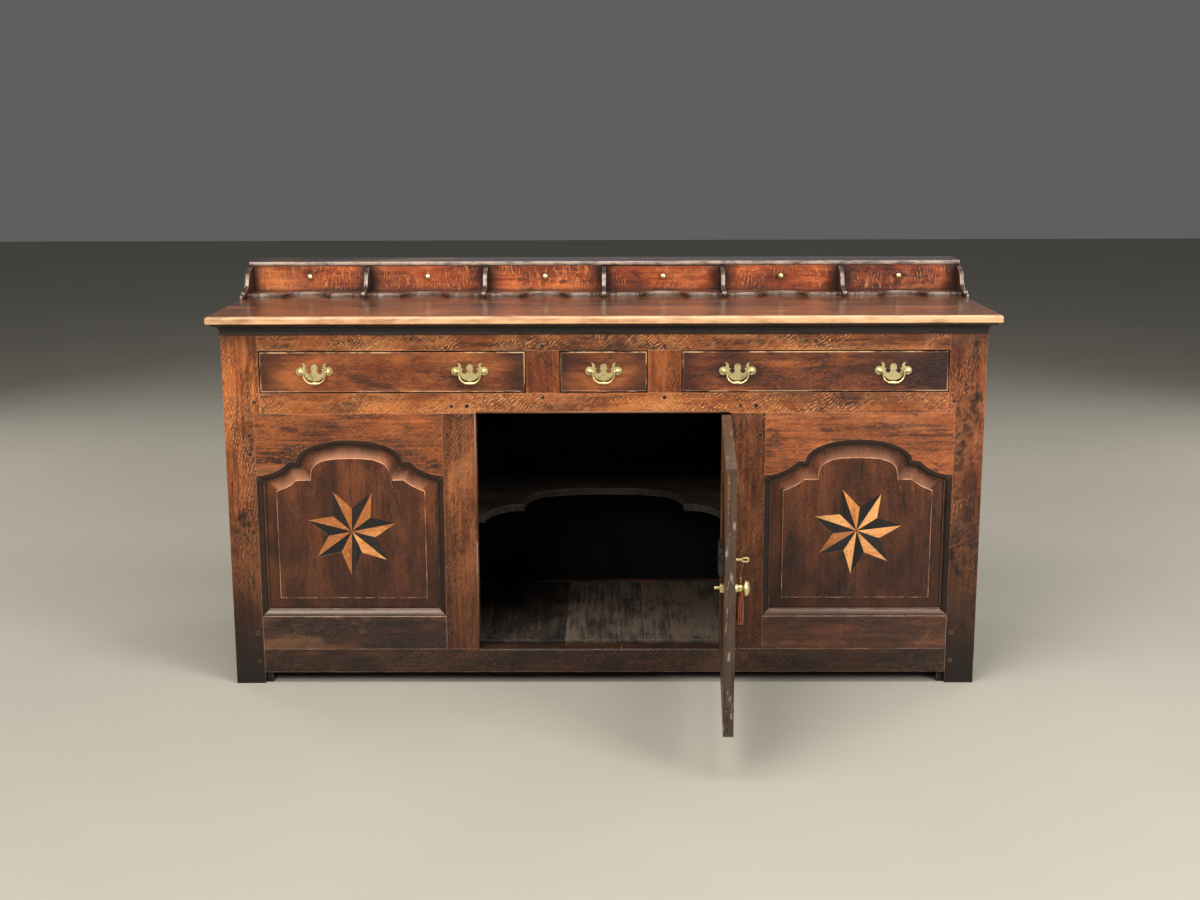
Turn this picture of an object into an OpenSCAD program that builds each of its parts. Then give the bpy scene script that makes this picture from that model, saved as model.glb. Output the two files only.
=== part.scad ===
// Oak kitchen dresser base with a spice-drawer gallery: a mortised and pegged carcass with
// three drawers, two fixed arched panels, one central door and six small drawers on the top.
// X runs along the front, Y from front to back, Z up. The door stands open, as it is shown.

/* [Carcass] */
// Width over the outer posts
body_w = 1780; // [1500:10:2100]
// Depth from the front of the posts to the back
body_d = 580; // [500:5:680]
// Height of the posts
post_h = 876; // [840:1:960]
// Width of a front post
post_w = 86; // [76:1:110]
// Thickness of a front post
post_t = 52; // [44:1:70]
// Width of a rear post
rear_w = 50; // [40:1:70]
// Thickness of a rear post
rear_t = 40; // [34:1:60]
// Thickness of the drawer rails
rail_t = 30; // [26:1:40]
// Thickness of the framing round the panels
frame_t = 26; // [24:1:32]
// Thickness of the bottom rail
sill_t = 38; // [32:1:48]
// Gap between the floor and the bottom rail
foot_gap = 28; // [10:1:60]
// Height of the bottom rail
sill_h = 58; // [40:1:62]
// Width of the door opening
opening_w = 600; // [480:5:700]
// Width of a post beside the door
door_post_w = 96; // [80:1:120]
// Thickness of a post beside the door
door_post_t = 36; // [32:1:38]
// Height of the rail below a fixed panel, up to its moulding
lower_rail_h = 82; // [60:1:110]
// Height of the rail under the drawers
mid_rail_h = 48; // [40:1:60]
// Height of the drawer openings
drawer_open_h = 100; // [80:1:130]

/* [Panels] */
// Width of the moulding round a panel
mould_w = 17; // [12:0.5:22]
// Depth of the moulding
mould_d = 9.6; // [7:0.1:11]
// Depth of the sharp step at the outer edge of the moulding
quirk = 2; // [1:0.1:3]
// Width of the flat at the inner edge of the moulding
fillet_w = 3; // [1:0.1:5]
// Height of the arched rail at its ends
arched_rail_h = 150; // [140:1:190]
// Radius of the rounded shoulder of the arch
shoulder_r = 105; // [90:1:140]
// Height of the cusp above the ends of the arch
cusp_rise = 34; // [24:1:40]
// Flat length between the shoulder and the arch
cusp_flat = 18; // [8:1:30]
// Height of the arch above its cusps
crown_rise = 52; // [36:1:62]
// Depth of the panel groove
groove_d = 10; // [7:0.5:12]
// Width of the panel groove
groove_w = 5; // [4:0.5:6]
// Distance of the groove behind the front face
groove_y = 14; // [12.5:0.5:14.5]
// Distance from the moulding's outer line to the raised field
field_set = 45; // [38:1:56]
// Height of the step round the raised field
field_step = 3; // [2:0.1:4]
// Depth of the raised field behind the front face
field_y = 5; // [3:0.1:7]

/* [Star] */
// Number of arms of an inlaid star
star_points = 7; // [5:1:9]
// Radius of a star to the tips of its arms
star_r = 107; // [70:1:115]
// Radius between two arms, as a share of the star's radius
star_inner_share = 0.53; // [0.4:0.01:0.7]
// Thickness of the inlay
inlay_t = 1.5; // [1:0.1:2.5]
// Height of the stars' centres above the floor
star_z = 378; // [340:1:400]
// Turn of the left star, clockwise from straight up
star_turn_left = -23.7; // [-30:0.1:30]
// Turn of the right star
star_turn_right = -19.6; // [-30:0.1:30]

/* [Worktop] */
// Thickness of the worktop
top_t = 19; // [16:0.5:28]
// Overhang of the worktop at the front and sides
top_over = 28; // [22:1:45]
// Distance of the joint between its two boards behind the posts' front
top_joint_y = 163; // [120:1:240]
// Radius of the worn front and side edges
top_round = 7; // [3:0.5:9]
// Height of the moulding under the worktop
cornice_h = 26; // [20:1:36]
// Projection of the moulding under the worktop
cornice_p = 18; // [12:0.5:20]

/* [Drawers] */
// Width of the centre drawer's opening
centre_open_w = 206; // [160:1:260]
// Width of an upright between two drawers
muntin_w = 78; // [60:1:100]
// Gap round a drawer front
drawer_gap = 2.5; // [1.5:0.1:4]
// Thickness of a drawer front
front_t = 20; // [16:0.5:26]
// Width of the rounded bead round a drawer front
bead_w = 3.5; // [2.5:0.1:5]
// Thickness of the drawers' sides
side_t = 11; // [8:0.5:14]
// Thickness of the drawers' bottoms
bottom_t = 7; // [5:0.5:10]
// Length of a drawer's box behind its front
box_l = 450; // [350:5:460]
// Distance between the two posts of a handle
handle_span = 66; // [60:1:76]

/* [Door] */
// Width of the door
door_w = 595.6; // [470:0.1:696]
// Width of the door's stiles
door_stile_w = 93.8; // [84:0.1:110]
// Thickness of the door
door_t = 22; // [20:0.5:24]
// Gap between the door and the rail above it
door_gap_top = 4; // [2:0.5:8]
// Gap between the door and the bottom rail
door_gap_low = 12; // [4:0.5:20]
// Angle at which the door stands open
door_open = 87; // [60:0.5:95]
// Distance of the hinge pin in front of the posts
pin_out = 1.5; // [1:0.1:3]
// Height of a hinge
hinge_h = 64; // [50:1:80]
// Radius of the round brass knob
door_knob_r = 16; // [12:0.5:20]

/* [Inside] */
// Height of the shelf's upper face above the floor
shelf_z = 392; // [300:1:480]
// Thickness of the shelf
shelf_t = 18; // [14:0.5:25]
// Distance of the shelf's front edge behind the posts' front
shelf_y = 100; // [80:1:150]
// Depth of the rounded ends of the cut in the shelf
shelf_lobe = 120; // [80:1:140]
// Depth of the wide middle of the cut in the shelf
shelf_bay = 177; // [120:1:200]
// Thickness of the floor boards
floor_t = 14; // [12:0.5:20]
// Number of floor boards
floor_n = 9; // [6:1:12]
// Number of back boards
back_n = 8; // [5:1:12]

/* [Gallery] */
// Height of the gallery's dividers
gallery_h = 64; // [50:1:90]
// Thickness of the gallery's base board
gallery_base_t = 8; // [6:0.5:12]
// Thickness of the gallery's top board
gallery_top_t = 11; // [8:0.5:16]
// Thickness of the gallery's dividers and ends
divider_t = 10; // [8:0.5:14]
// Depth of the gallery's top board
gallery_d = 120; // [100:1:150]
// Distance from the top board's front edge to the dividers' toes
toe_l = 110; // [90:1:130]
// Depth of the scallops in the base board
scallop_d = 95; // [60:1:105]
// Number of small drawers
spice_n = 6; // [4:1:8]
// Diameter of the small drawers' knobs
spice_knob_d = 14; // [11:0.5:18]

/* [Hidden] */
$fn = 48;

// Colours of the woods and metals
oak = "#8a4f28";
dark_oak = "#4e2d1b";
drawer_oak = "#6d341f";
pale_oak = "#8f6a48";
inlay_pale = "#cf8f45";
inlay_black = "#23180f";
brass = "#b9a066";
iron = "#3d3a36";
silk = "#a5562b";

// Shared fits: overrun of cuts, gap between separate boards, gap of a sliding or let-in piece,
// gap between pieces that touch in the real one, room for a panel to move in its grooves
over = 1;
board_gap = 1;
fit = 0.3;
glue_gap = 0.2;
panel_play = 1.5;

// Carcass
half_w = body_w / 2;
post_x = half_w - post_w;
open_x = opening_w / 2;
door_post_x = open_x + door_post_w;
sill_z = foot_gap + sill_h;
lower_z = sill_z + lower_rail_h;
top_rail_h = 64;
mid_z = post_h - top_rail_h - drawer_open_h - mid_rail_h;
drawer_z = mid_z + mid_rail_h;
top_rail_z = drawer_z + drawer_open_h;
worktop_z = post_h + top_t;
lip_d = 11;
rear_y = body_d - rear_t;

// Mortise and tenon joints, shared by every pegged frame
tenon_y = 12;
tenon_t = 7;
tenon_l = 44;
tenon_root = 20;
tenon_shoulder = 8;
peg_r = 4.6;
peg_fit = 0.1;
peg_l = 24;
peg_proud = 0.8;
peg_in = 29;

// Fixed panels and their arch, drawn about the panel's own centre line. Each framing is given
// as half the width between its uprights, so that the door's follows the door.
panel_x = (post_x + door_post_x) / 2;
sight_half = (post_x - door_post_x) / 2;
spring_z = mid_z - arched_rail_h;
arch_draw_share = 0.7;
crown_square_share = 1.06;
shoulder_n = 6;
crown_n = 12;
ovolo_n = 5;
draft = 0.1;
tongue = groove_d - panel_play;

// Drawers
centre_half = centre_open_w / 2;
muntin_x = centre_half + muntin_w / 2;
side_open_x0 = centre_half + muntin_w;
side_open_w = post_x - side_open_x0;
front_play = 1;
front_h = drawer_open_h - 2 * drawer_gap - front_play;
front_lift = drawer_gap;
box_lift = fit;
box_play = 1;
box_room = 14;
box_h = drawer_open_h - box_room;
dado = 5;
slot_z = 8;
handle_lift = 2;
handle_z = drawer_z + drawer_open_h / 2 + handle_lift;
handle_set = 181;
runner_t = 20;
runner_w = 20;
runner_seat = 2;
guide_h = 24;

// Handles: a pierced plate, two posts with nuts and a swan-neck bail
plate_t = 1.6;
plate_lobe_r = 9.8;
plate_depth = 23;
plate_half = 24;
plate_skirt = 1;
plate_band_h = 6;
head_r = 7.6;
head_z = 9.2;
bite_r = 6;
bite_x = 12.4;
bite_slot = 5;
horn_r = 9;
horn_lip = 1;
horn_x = 28.5;
horn_z = 10.5;
horn_cut_r = 7.5;
horn_cut_x = 34;
horn_cut_z = 13.5;
horn_top = 21;
post_r = 3.6;
post_collar_r = 5;
post_collar_t = 2;
post_neck_l = 1;
post_ball_r = 4.2;
post_reach = 10;
bolt_end = 1;
bolt_r = 2.2;
nut_r = 6;
nut_t = 4;
bail_r = 1.7;
trunnion_r = 1.6;
trunnion_fit = 0.05;
bail_y = 6.4;
bail_half = 25;
bail_drop = 28;
bail_bend = 20;
elbow_r = 3.4;
arm_lap = 0.5;
arm_past = 1.5;
swell_r = 3.4;
swell_l = 24;

// Door
pin_gap = 1.4;
pin_x = open_x - 0.5 * pin_gap;
pin_y = -pin_out;
door_x1 = open_x - pin_gap;
door_x0 = door_x1 - door_w;
door_mid = (door_x0 + door_x1) / 2;
door_z0 = sill_z + door_gap_low;
door_z1 = mid_z - door_gap_top;
hinge_set = 62;
leaf_w = 19;
leaf_t = 1.6;
knuckle_r = 2.8;
knuckle_gap = 0.4;
hinge_pin_r = 1.5;
hinge_pin_fit = 0.05;
leaf_gap = 0.1;
lock_w = 66;
lock_h = 56;
lock_t = 13;
lock_in = 4;
key_in = 53;
key_x = door_x0 + key_in;
key_z = 460;
lock_low = 19;
key_r = 2.6;
keyhole_r = 4;
key_fit = 0.1;
key_reach = 13;
bow_half = 3.6;
bow_tube = 1.6;
bow_l = 7;
ward_r = 9;
ward_t = 2;
ward_l = 6;
bolt_h = 12;
bolt_t = 7;
bolt_l = 46;
bolt_lift = 11;
bolt_z = key_z + bolt_lift;
bolt_throw = 10;
bolt_in = 1;
case_wall = 2.5;
case_back = 2;
ward_y = 3;
bolt_y = door_t + case_wall;
knob_in = 33;
knob_x = door_x0 + knob_in;
knob_z = 406;
knob_reach = 30;
knob_foot_r = 10;
knob_foot_t = 2.5;
knob_cove_r = 9;
knob_stem_r = 7;
knob_stem_l = 14;
knob_swell_l = 17;
knob_crown_h = 9;
spindle_r = 3;
spindle_end = 20;
spindle_nut = 9;
spindle_nut_r = 10;
spindle_nut_flat = 8;
thread_r = 0.9;
tassel_y = -10.5;
tassel_top = 420.5;
tassel_low = 323;
tassel_r = 8.2;
tassel_head_r = 3.6;
knot_r = 1.4;
knot_h = 3.8;
cord_sides = 8;
cord_top = key_z - bow_half - bow_tube;
cord_low = tassel_top + knot_h;
cord_sway = [0, 0.2, 0.8, 1.8, 3, 4.3, 5.4, 6.1];
cord_n = len(cord_sway) - 1;
cord_route = [for (i = [0:cord_n])
  [0, tassel_y - cord_sway[i], cord_low + (cord_top - cord_low) * i / cord_n]];

// Gallery
gallery_in = 2;
gallery_x = half_w + top_over - gallery_in;
gallery_z = worktop_z + gallery_base_t;
gallery_top_z = gallery_z + gallery_h;
gallery_y = body_d - gallery_d;
base_past = 12;
base_y = gallery_y - toe_l - base_past;
bay_pitch = (2 * gallery_x - divider_t) / spice_n;
bay_w = bay_pitch - divider_t;
gallery_back_t = 12;
divider_lip = 2;
spice_gap = 0.4;
spice_front_t = 12;
spice_set = 3;
spice_side_t = 7;
spice_bottom_t = 6;
spice_side_drop = 6;
spice_back_gap = 2;
spice_stem_r = 2;
spice_knob_l = 13;
spice_foot_h = 1.2;
spice_neck_l = 3;
spice_nut_t = 3;
short_drawer = 3;
short_by = 2;
spice_knob_z = gallery_z + 0.56 * gallery_h;

// The whole piece stands centred on its own outline, the open door included
door_nose_y = pin_y - (door_w + 0.5 * pin_gap) * sin(door_open) + pin_out * cos(door_open);
centre_y = (door_nose_y + body_d) / 2;

// A box between its lowest and highest corners
module block(lo, hi) translate(lo) cube(hi - lo);

// The children and their mirror image across the middle of the front
module both_sides() {
  children();
  mirror([1, 0, 0]) children();
}

// A front view stood up as a board between two depths
module board(y0, y1) translate([0, y1, 0]) rotate([90, 0, 0]) linear_extrude(y1 - y0) children();

// A section in depth and height, drawn as [y, z], run along X between two places
module bar_x(x0, x1) translate([x0, 0, 0]) rotate([90, 0, 90]) linear_extrude(x1 - x0) children();

// A plan, drawn as [x, y], between two heights
module slab(z0, z1) translate([0, 0, z0]) linear_extrude(z1 - z0) children();

// A round bar along Y
module bar_y(x, z, y0, y1, r) translate([x, y1, z]) rotate([90, 0, 0]) cylinder(y1 - y0, r, r);

// A solid skinned through rings of equal length, closed at both ends
module loft(rings) {
  n = len(rings[0]);
  m = len(rings);
  sides = [for (i = [0:m - 2], j = [0:n - 1]) let (a = i * n + j, b = i * n + (j + 1) % n)
    each [[a, b, b + n], [a, b + n, a + n]]];
  front = [[for (j = [n - 1:-1:0]) j]];
  back = [[for (j = [0:n - 1]) (m - 1) * n + j]];
  polyhedron([for (r = rings, p = r) p], concat(front, sides, back));
}

function backwards(list) = [for (i = [len(list) - 1:-1:0]) list[i]];
function flipped(list) = [for (p = list) [-p.x, p.y]];

// Points of an elliptical arc from angle a0 to a1
function arc(cx, cy, rx, ry, a0, a1, n) =
  [for (i = [0:n]) let (a = a0 + (a1 - a0) * i / n) [cx + rx * cos(a), cy + ry * sin(a)]];

// Right half of the arch line, set in by d from the moulding's outer line and ended at span
function shoulder_run(d) = sqrt(pow(shoulder_r + d, 2) - pow(shoulder_r - cusp_rise + d, 2));
function shoulder(half, d, span) = let (
    r = shoulder_r + d,
    a0 = asin((half + mould_w - span) / r),
    a1 = asin(shoulder_run(d) / r)
  ) [for (i = [0:shoulder_n]) let (a = a0 + (a1 - a0) * i / shoulder_n)
    [half + mould_w - r * sin(a), spring_z + shoulder_r - r * cos(a)]];
function crown(half, d) = let (
    width = half + mould_w - shoulder_run(0) - cusp_flat - arch_draw_share * d,
    power = 2 / (2 + crown_square_share * d / field_set)
  ) [for (i = [0:crown_n]) let (t = 90 * i / crown_n)
    [width * pow(cos(t), power), spring_z + cusp_rise - d + crown_rise * pow(sin(t), power)]];
function arch_line(half, d, span) = let (run = concat(shoulder(half, d, span), crown(half, d)))
  concat(flipped(run), [for (i = [len(run) - 2:-1:0]) run[i]]);

// The moulding's section as pairs of [set-in from the outer line, depth]
function ovolo() = concat([[0, 0], [0, quirk]],
  [for (i = [1:ovolo_n]) let (t = 90 * i / ovolo_n)
    [(mould_w - fillet_w) * sin(t), quirk + (mould_d - quirk - 0.01 * mould_d) * (1 - cos(t))]],
  [[mould_w, mould_d]]);

// A straight length of moulded edge: the section stands on the rail face from base to line
function edge_section(base, line, back) =
  concat([[back, base], [0, base]], [for (p = ovolo()) [p.y, line + p.x]], [[back, line + mould_w]]);

// Face outline of a straight moulded rail, with its moulding mitred at both ends
function rail_face(half, base, line) = [[-half - mould_w, base], [half + mould_w, base],
  [half + mould_w, line], [half, line + mould_w], [-half, line + mould_w], [-half - mould_w, line]];

// A rail below a panel: moulded on its upper edge, grooved, with a tenon at each end
module straight_rail(half, z0, line, t, tenon) {
  difference() {
    union() {
      intersection() {
        bar_x(-half - mould_w, half + mould_w) polygon(edge_section(z0, line, lip_d));
        board(-over, t) polygon(rail_face(half, z0, line));
      }
      block([-half, mould_d, z0], [half, t, line + mould_w]);
      block([-half - tenon, tenon_y, z0 + tenon_shoulder],
        [half + tenon, tenon_y + tenon_t, line - tenon_shoulder]);
    }
    block([-half - tenon - over, groove_y, line + mould_w - groove_d],
      [half + tenon + over, groove_y + groove_w, line + mould_w + over]);
  }
}

// Outline of an arched rail whose arch is set in by d and whose ends stand at span
function rail_outline(half, d, span, top) =
  concat(arch_line(half, d, span), [[span, spring_z + tenon_shoulder], [span, top], [-span, top],
    [-span, spring_z + tenon_shoulder]]);

// A curved moulding let into the front edge of the arch and mitred to the uprights
module arched_moulding(half) {
  run = concat([for (p = ovolo()) if (p.y > 0) [max(p.x, glue_gap), p.y]],
    [[mould_w, lip_d - glue_gap], [glue_gap, lip_d - glue_gap]]);
  lines = [for (p = run) arch_line(half, p.x, half + mould_w - p.x)];
  last = len(lines[0]) - 1;
  loft([for (j = [0:last]) [for (i = [len(run) - 1:-1:0])
    [lines[i][j].x, run[i].y, j == 0 || j == last ? spring_z - run[i].x : lines[i][j].y]]]);
}

// An arched rail: a front lip that takes the moulding, a groove for the panel and two tenons
module arched_rail(half, top, t, tenon) {
  difference() {
    union() {
      board(0, lip_d) polygon(rail_outline(half, 0, half + mould_w, top));
      board(lip_d, t) polygon(rail_outline(half, mould_w, half, top));
      both_sides() block([half - tenon_root, tenon_y, spring_z + 2 * tenon_shoulder],
        [half + tenon, tenon_y + tenon_t, top - tenon_shoulder]);
    }
    board(groove_y, groove_y + groove_w) polygon(concat(
      backwards(arch_line(half, mould_w - groove_d, half + over)),
      [[-half - over, spring_z - mould_w], [half + over, spring_z - mould_w]]));
  }
  arched_moulding(half);
}

// A moulded strip on the inner edge of a post or stile, mitred to both rails
module upright_strip(half, line) {
  outer = half + mould_w;
  section = concat([[outer + over, lip_d + over], [outer + over, 0]],
    [for (p = ovolo()) [outer - p.x, p.y]], [[half, lip_d + over]]);
  intersection() {
    slab(line, spring_z) polygon(section);
    board(-over, frame_t) polygon([[outer + over, line - over], [half, line + mould_w],
      [half, spring_z - mould_w], [outer + over, spring_z + over]]);
  }
}

// Space that a rail's end and a panel's edge take out of the upright beside them
module upright_cuts(half, low, line, top, tenon) {
  block([half - over, -over, low], [half + mould_w, lip_d, top]);
  block([half - over, groove_y, line + mould_w - groove_d],
    [half + groove_d, groove_y + groove_w, spring_z + tenon_shoulder]);
  for (z = [[sill_z, line], [spring_z + tenon_shoulder, top]])
    block([half - over, tenon_y - fit, z[0] + tenon_shoulder - fit],
      [half + tenon + fit, tenon_y + tenon_t + fit, z[1] - tenon_shoulder + fit]);
}

// A raised and fielded panel with its arched head, its tongue thinned to the grooves
function panel_ring(half, d, y, line) = let (outer = half + mould_w - d)
  [for (p = concat(backwards(arch_line(half, d, outer)), [[-outer, line + d], [outer, line + d]]))
    [p.x, y, p.y]];
module arched_panel(half, line, turn) {
  edge = mould_w - tongue;
  rings = [[field_set, field_y], [field_set, field_y + field_step], [mould_w, groove_y + glue_gap],
    [edge, groove_y + draft + glue_gap], [edge, groove_y + groove_w - glue_gap]];
  difference() {
    loft([for (r = rings) panel_ring(half, r[0], r[1], line)]);
    translate([0, field_y + inlay_t, star_z]) rotate([90, 0, 0])
      linear_extrude(inlay_t + over) star_outline(turn);
  }
}

// The star: each arm is a pair of kite halves, one pale and one dark
function spoke(angle, r) = [r * sin(angle), r * cos(angle)];
module star_outline(turn) {
  step = 360 / star_points;
  polygon([for (k = [0:star_points - 1]) each [spoke(turn + k * step, star_r),
    spoke(turn + (k + 0.5) * step, star_inner_share * star_r)]]);
}
module star_halves(turn, side) {
  step = 360 / star_points;
  for (k = [0:star_points - 1]) {
    a = turn + k * step;
    corners = [[0, 0], spoke(a, star_r), spoke(a + 0.5 * side * step, star_inner_share * star_r)];
    middle = (corners[0] + corners[1] + corners[2]) / 3;
    polygon([for (c = corners) middle + (c - middle) * inlay_share]);
  }
}
inlay_share = 0.985;
module star_inlay(turn, side) translate([0, field_y + inlay_t, star_z]) rotate([90, 0, 0])
  linear_extrude(inlay_t) star_halves(turn, side);

// Pegs: every place where an oak pin locks a tenon in the front
corner_peg_in = 14;
corner_peg_up = 27;
arch_peg_high = 98;
arch_peg_low = 52;
door_peg_in = 20;
door_peg_out = 56;
door_peg_up = 17;
sill_peg_in = 38;
sill_peg_down = 15;
muntin_peg_up = 10;
muntin_peg_down = 11;
function frame_pegs(x) = [[x, spring_z + arch_peg_high], [x, spring_z + arch_peg_low],
  [x, sill_z + lower_rail_h / 2]];
function post_pegs() = concat([[post_x + corner_peg_in, mid_z + corner_peg_up]],
  frame_pegs(post_x + peg_in), [[post_x + peg_in, foot_gap + sill_h / 2]]);
function door_post_pegs() = concat([[open_x + door_peg_in, mid_z + door_peg_up],
  [open_x + door_peg_out, mid_z + door_peg_up]], frame_pegs(door_post_x - peg_in),
  [[open_x + sill_peg_in, sill_z - sill_peg_down]]);
function muntin_pegs() = [[muntin_x, top_rail_z + muntin_peg_up],
  [muntin_x, drawer_z - muntin_peg_down]];
module pegs(places, r, y0, y1) for (p = places) bar_y(p.x, p.y, y0, y1, r);
module peg_holes() both_sides()
  pegs(concat(post_pegs(), door_post_pegs(), muntin_pegs()), peg_r + peg_fit, -over, peg_l + over);

module oak_pegs() color(dark_oak) both_sides()
  pegs(concat(post_pegs(), door_post_pegs(), muntin_pegs()), peg_r, -peg_proud, peg_l);

// Side frames: rails tenoned between a front and a rear post, with a muntin and two panels
side_frame_t = 24;
side_x = half_w - side_frame_t;
side_top_h = 96;
side_low_h = 84;
side_muntin_w = 70;
side_groove_in = 16;
side_groove_x = half_w - side_groove_in;
side_groove = 8;
side_groove_d = 9;
side_tenon = 26;
side_tenon_in = 18;
side_tenon_x = half_w - side_tenon_in;
side_low_z = foot_gap + side_low_h;
side_top_z = post_h - side_top_h;
side_mid_y = (post_t + rear_y) / 2;
side_tongue = side_groove_d - panel_play;
module side_groove_run(y0, y1, z0, z1)
  block([side_groove_x, y0, z0], [side_groove_x + side_groove, y1, z1]);

module front_posts() color(oak) both_sides() {
  difference() {
    block([post_x, 0, 0], [half_w, post_t, post_h]);
    translate([panel_x, 0, 0]) upright_cuts(sight_half, -over, lower_z, mid_z, tenon_l);
    for (z = [[foot_gap, sill_z], [mid_z, drawer_z], [top_rail_z, post_h]])
      block([post_x - over, tenon_y - fit, z[0] + tenon_shoulder - fit],
        [post_x + tenon_l + fit, tenon_y + tenon_t + fit, z[1] - tenon_shoulder + fit]);
    for (z = [[foot_gap, side_low_z], [side_top_z, post_h]])
      block([side_tenon_x - fit, post_t - side_tenon - fit, z[0] + tenon_shoulder - fit],
        [side_tenon_x + tenon_t + fit, post_t + over, z[1] - tenon_shoulder + fit]);
    side_groove_run(post_t - side_groove_d, post_t + over, side_low_z - side_groove_d,
      side_top_z + side_groove_d);
    peg_holes();
  }
  translate([panel_x, 0, 0]) upright_strip(sight_half, lower_z);
}

module rear_posts() color(dark_oak) both_sides() difference() {
  block([half_w - rear_w, rear_y, 0], [half_w, body_d, post_h]);
  for (z = [[foot_gap, side_low_z], [side_top_z, post_h]])
    block([side_tenon_x - fit, rear_y - over, z[0] + tenon_shoulder - fit],
      [side_tenon_x + tenon_t + fit, rear_y + side_tenon + fit, z[1] - tenon_shoulder + fit]);
  side_groove_run(rear_y - over, rear_y + side_groove_d, side_low_z - side_groove_d,
    side_top_z + side_groove_d);
  for (z = back_rail_places())
    block([half_w - rear_w - over, rear_y + back_tenon_in - fit, z[0] + tenon_shoulder - fit],
      [half_w - rear_w + side_tenon + fit, rear_y + back_tenon_in + tenon_t + fit,
        z[1] - tenon_shoulder + fit]);
}

// Back rails, and the boards nailed on behind them
back_rail_t = 22;
back_tenon_in = 7;
back_board_t = 12;
back_low_h = 70;
back_mid_h = 50;
back_top_h = 60;
runner_z = drawer_z - runner_t;
function back_rail_places() = [[foot_gap, foot_gap + back_low_h],
  [runner_z - back_mid_h, runner_z], [post_h - back_top_h, post_h]];

module side_back_rails() color(dark_oak) {
  both_sides() {
    difference() {
      union() {
        for (z = [[foot_gap, side_low_z], [side_top_z, post_h]]) {
          block([side_x, post_t, z[0]], [half_w, rear_y, z[1]]);
          block([side_tenon_x, post_t - side_tenon, z[0] + tenon_shoulder],
            [side_tenon_x + tenon_t, rear_y + side_tenon, z[1] - tenon_shoulder]);
        }
      }
      side_groove_run(post_t - side_tenon - over, rear_y + side_tenon + over,
        side_low_z - side_groove_d, side_low_z + over);
      side_groove_run(post_t - side_tenon - over, rear_y + side_tenon + over,
        side_top_z - over, side_top_z + side_groove_d);
    }
    difference() {
      block([side_x, side_mid_y - side_muntin_w / 2, side_low_z + glue_gap],
        [half_w, side_mid_y + side_muntin_w / 2, side_top_z - glue_gap]);
      for (s = [0, 1])
        side_groove_run(s == 0 ? side_mid_y - side_muntin_w / 2 - over
            : side_mid_y + side_muntin_w / 2 - side_groove_d,
          s == 0 ? side_mid_y - side_muntin_w / 2 + side_groove_d
            : side_mid_y + side_muntin_w / 2 + over, side_low_z - over, side_top_z + over);
    }
  }
  for (z = back_rail_places()) {
    block([rear_w - half_w, rear_y, z[0]], [half_w - rear_w, rear_y + back_rail_t, z[1]]);
    block([rear_w - half_w - side_tenon, rear_y + back_tenon_in, z[0] + tenon_shoulder],
      [half_w - rear_w + side_tenon, rear_y + back_tenon_in + tenon_t, z[1] - tenon_shoulder]);
  }
}

module side_panels() color(dark_oak) both_sides()
  for (y = [[post_t, side_mid_y - side_muntin_w / 2], [side_mid_y + side_muntin_w / 2, rear_y]])
    block([side_groove_x + glue_gap, y[0] - side_tongue, side_low_z - side_tongue],
      [side_groove_x + side_groove - glue_gap, y[1] + side_tongue, side_top_z + side_tongue]);

module back_boards() color(dark_oak) {
  width = (body_w - 2 * rear_w - glue_gap) / back_n;
  for (i = [0:back_n - 1])
    block([rear_w - half_w + glue_gap + i * width, rear_y + back_rail_t, foot_gap],
      [rear_w - half_w + (i + 1) * width, rear_y + back_rail_t + back_board_t, post_h]);
  block([-gallery_x, body_d - gallery_back_t, gallery_z], [gallery_x, body_d, gallery_top_z]);
}

// Front rails: the top and mid rails run between the posts, the bottom rail has a front lip
sill_round = 6;
module rail_bar(z0, z1, t) {
  block([-post_x, 0, z0], [post_x, t, z1]);
  block([-post_x - tenon_l, tenon_y, z0 + tenon_shoulder],
    [post_x + tenon_l, tenon_y + tenon_t, z1 - tenon_shoulder]);
}
module front_rails() color(oak) difference() {
  union() {
    rail_bar(top_rail_z, post_h, rail_t);
    rail_bar(mid_z, drawer_z, rail_t);
    rail_bar(foot_gap, sill_z, sill_t);
    block([-post_x - mould_w, 0, foot_gap], [post_x + mould_w, lip_d - fit, sill_z]);
  }
  both_sides() {
    block(muntin_tenon(mid_tenon_z() - fit, -fit), muntin_tenon_end(drawer_z + over, fit));
    block(muntin_tenon(top_rail_z - over, -fit),
      muntin_tenon_end(top_rail_z + muntin_tenon_l + fit, fit));
    block(door_post_tenon(mid_z - over, -fit),
      door_post_tenon_end(mid_z + door_post_tenon_l + fit, fit));
    block(door_post_tenon(sill_z - door_post_tenon_l - fit, -fit),
      door_post_tenon_end(sill_z + over, fit));
  }
  difference() {
    block([-open_x - sill_round, -over, sill_z - sill_round],
      [open_x + sill_round, sill_round, sill_z + over]);
    translate([-open_x - 2 * sill_round, sill_round, sill_z - sill_round]) rotate([0, 90, 0])
      cylinder(opening_w + 4 * sill_round, sill_round, sill_round);
  }
  peg_holes();
}

// Uprights between the drawers, stub-tenoned into the rails above and below
muntin_tenon_l = 20;
door_post_tenon_l = 30;
function mid_tenon_z() = drawer_z - muntin_tenon_l;
function muntin_tenon(z, grow) = [muntin_x - muntin_w / 2 + tenon_shoulder + grow, tenon_y + grow, z];
function muntin_tenon_end(z, grow) =
  [muntin_x + muntin_w / 2 - tenon_shoulder + grow, tenon_y + tenon_t + grow, z];
function door_post_tenon(z, grow) = [open_x + tenon_shoulder + grow, tenon_y + grow, z];
function door_post_tenon_end(z, grow) =
  [door_post_x - mould_w - tenon_shoulder + grow, tenon_y + tenon_t + grow, z];

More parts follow.
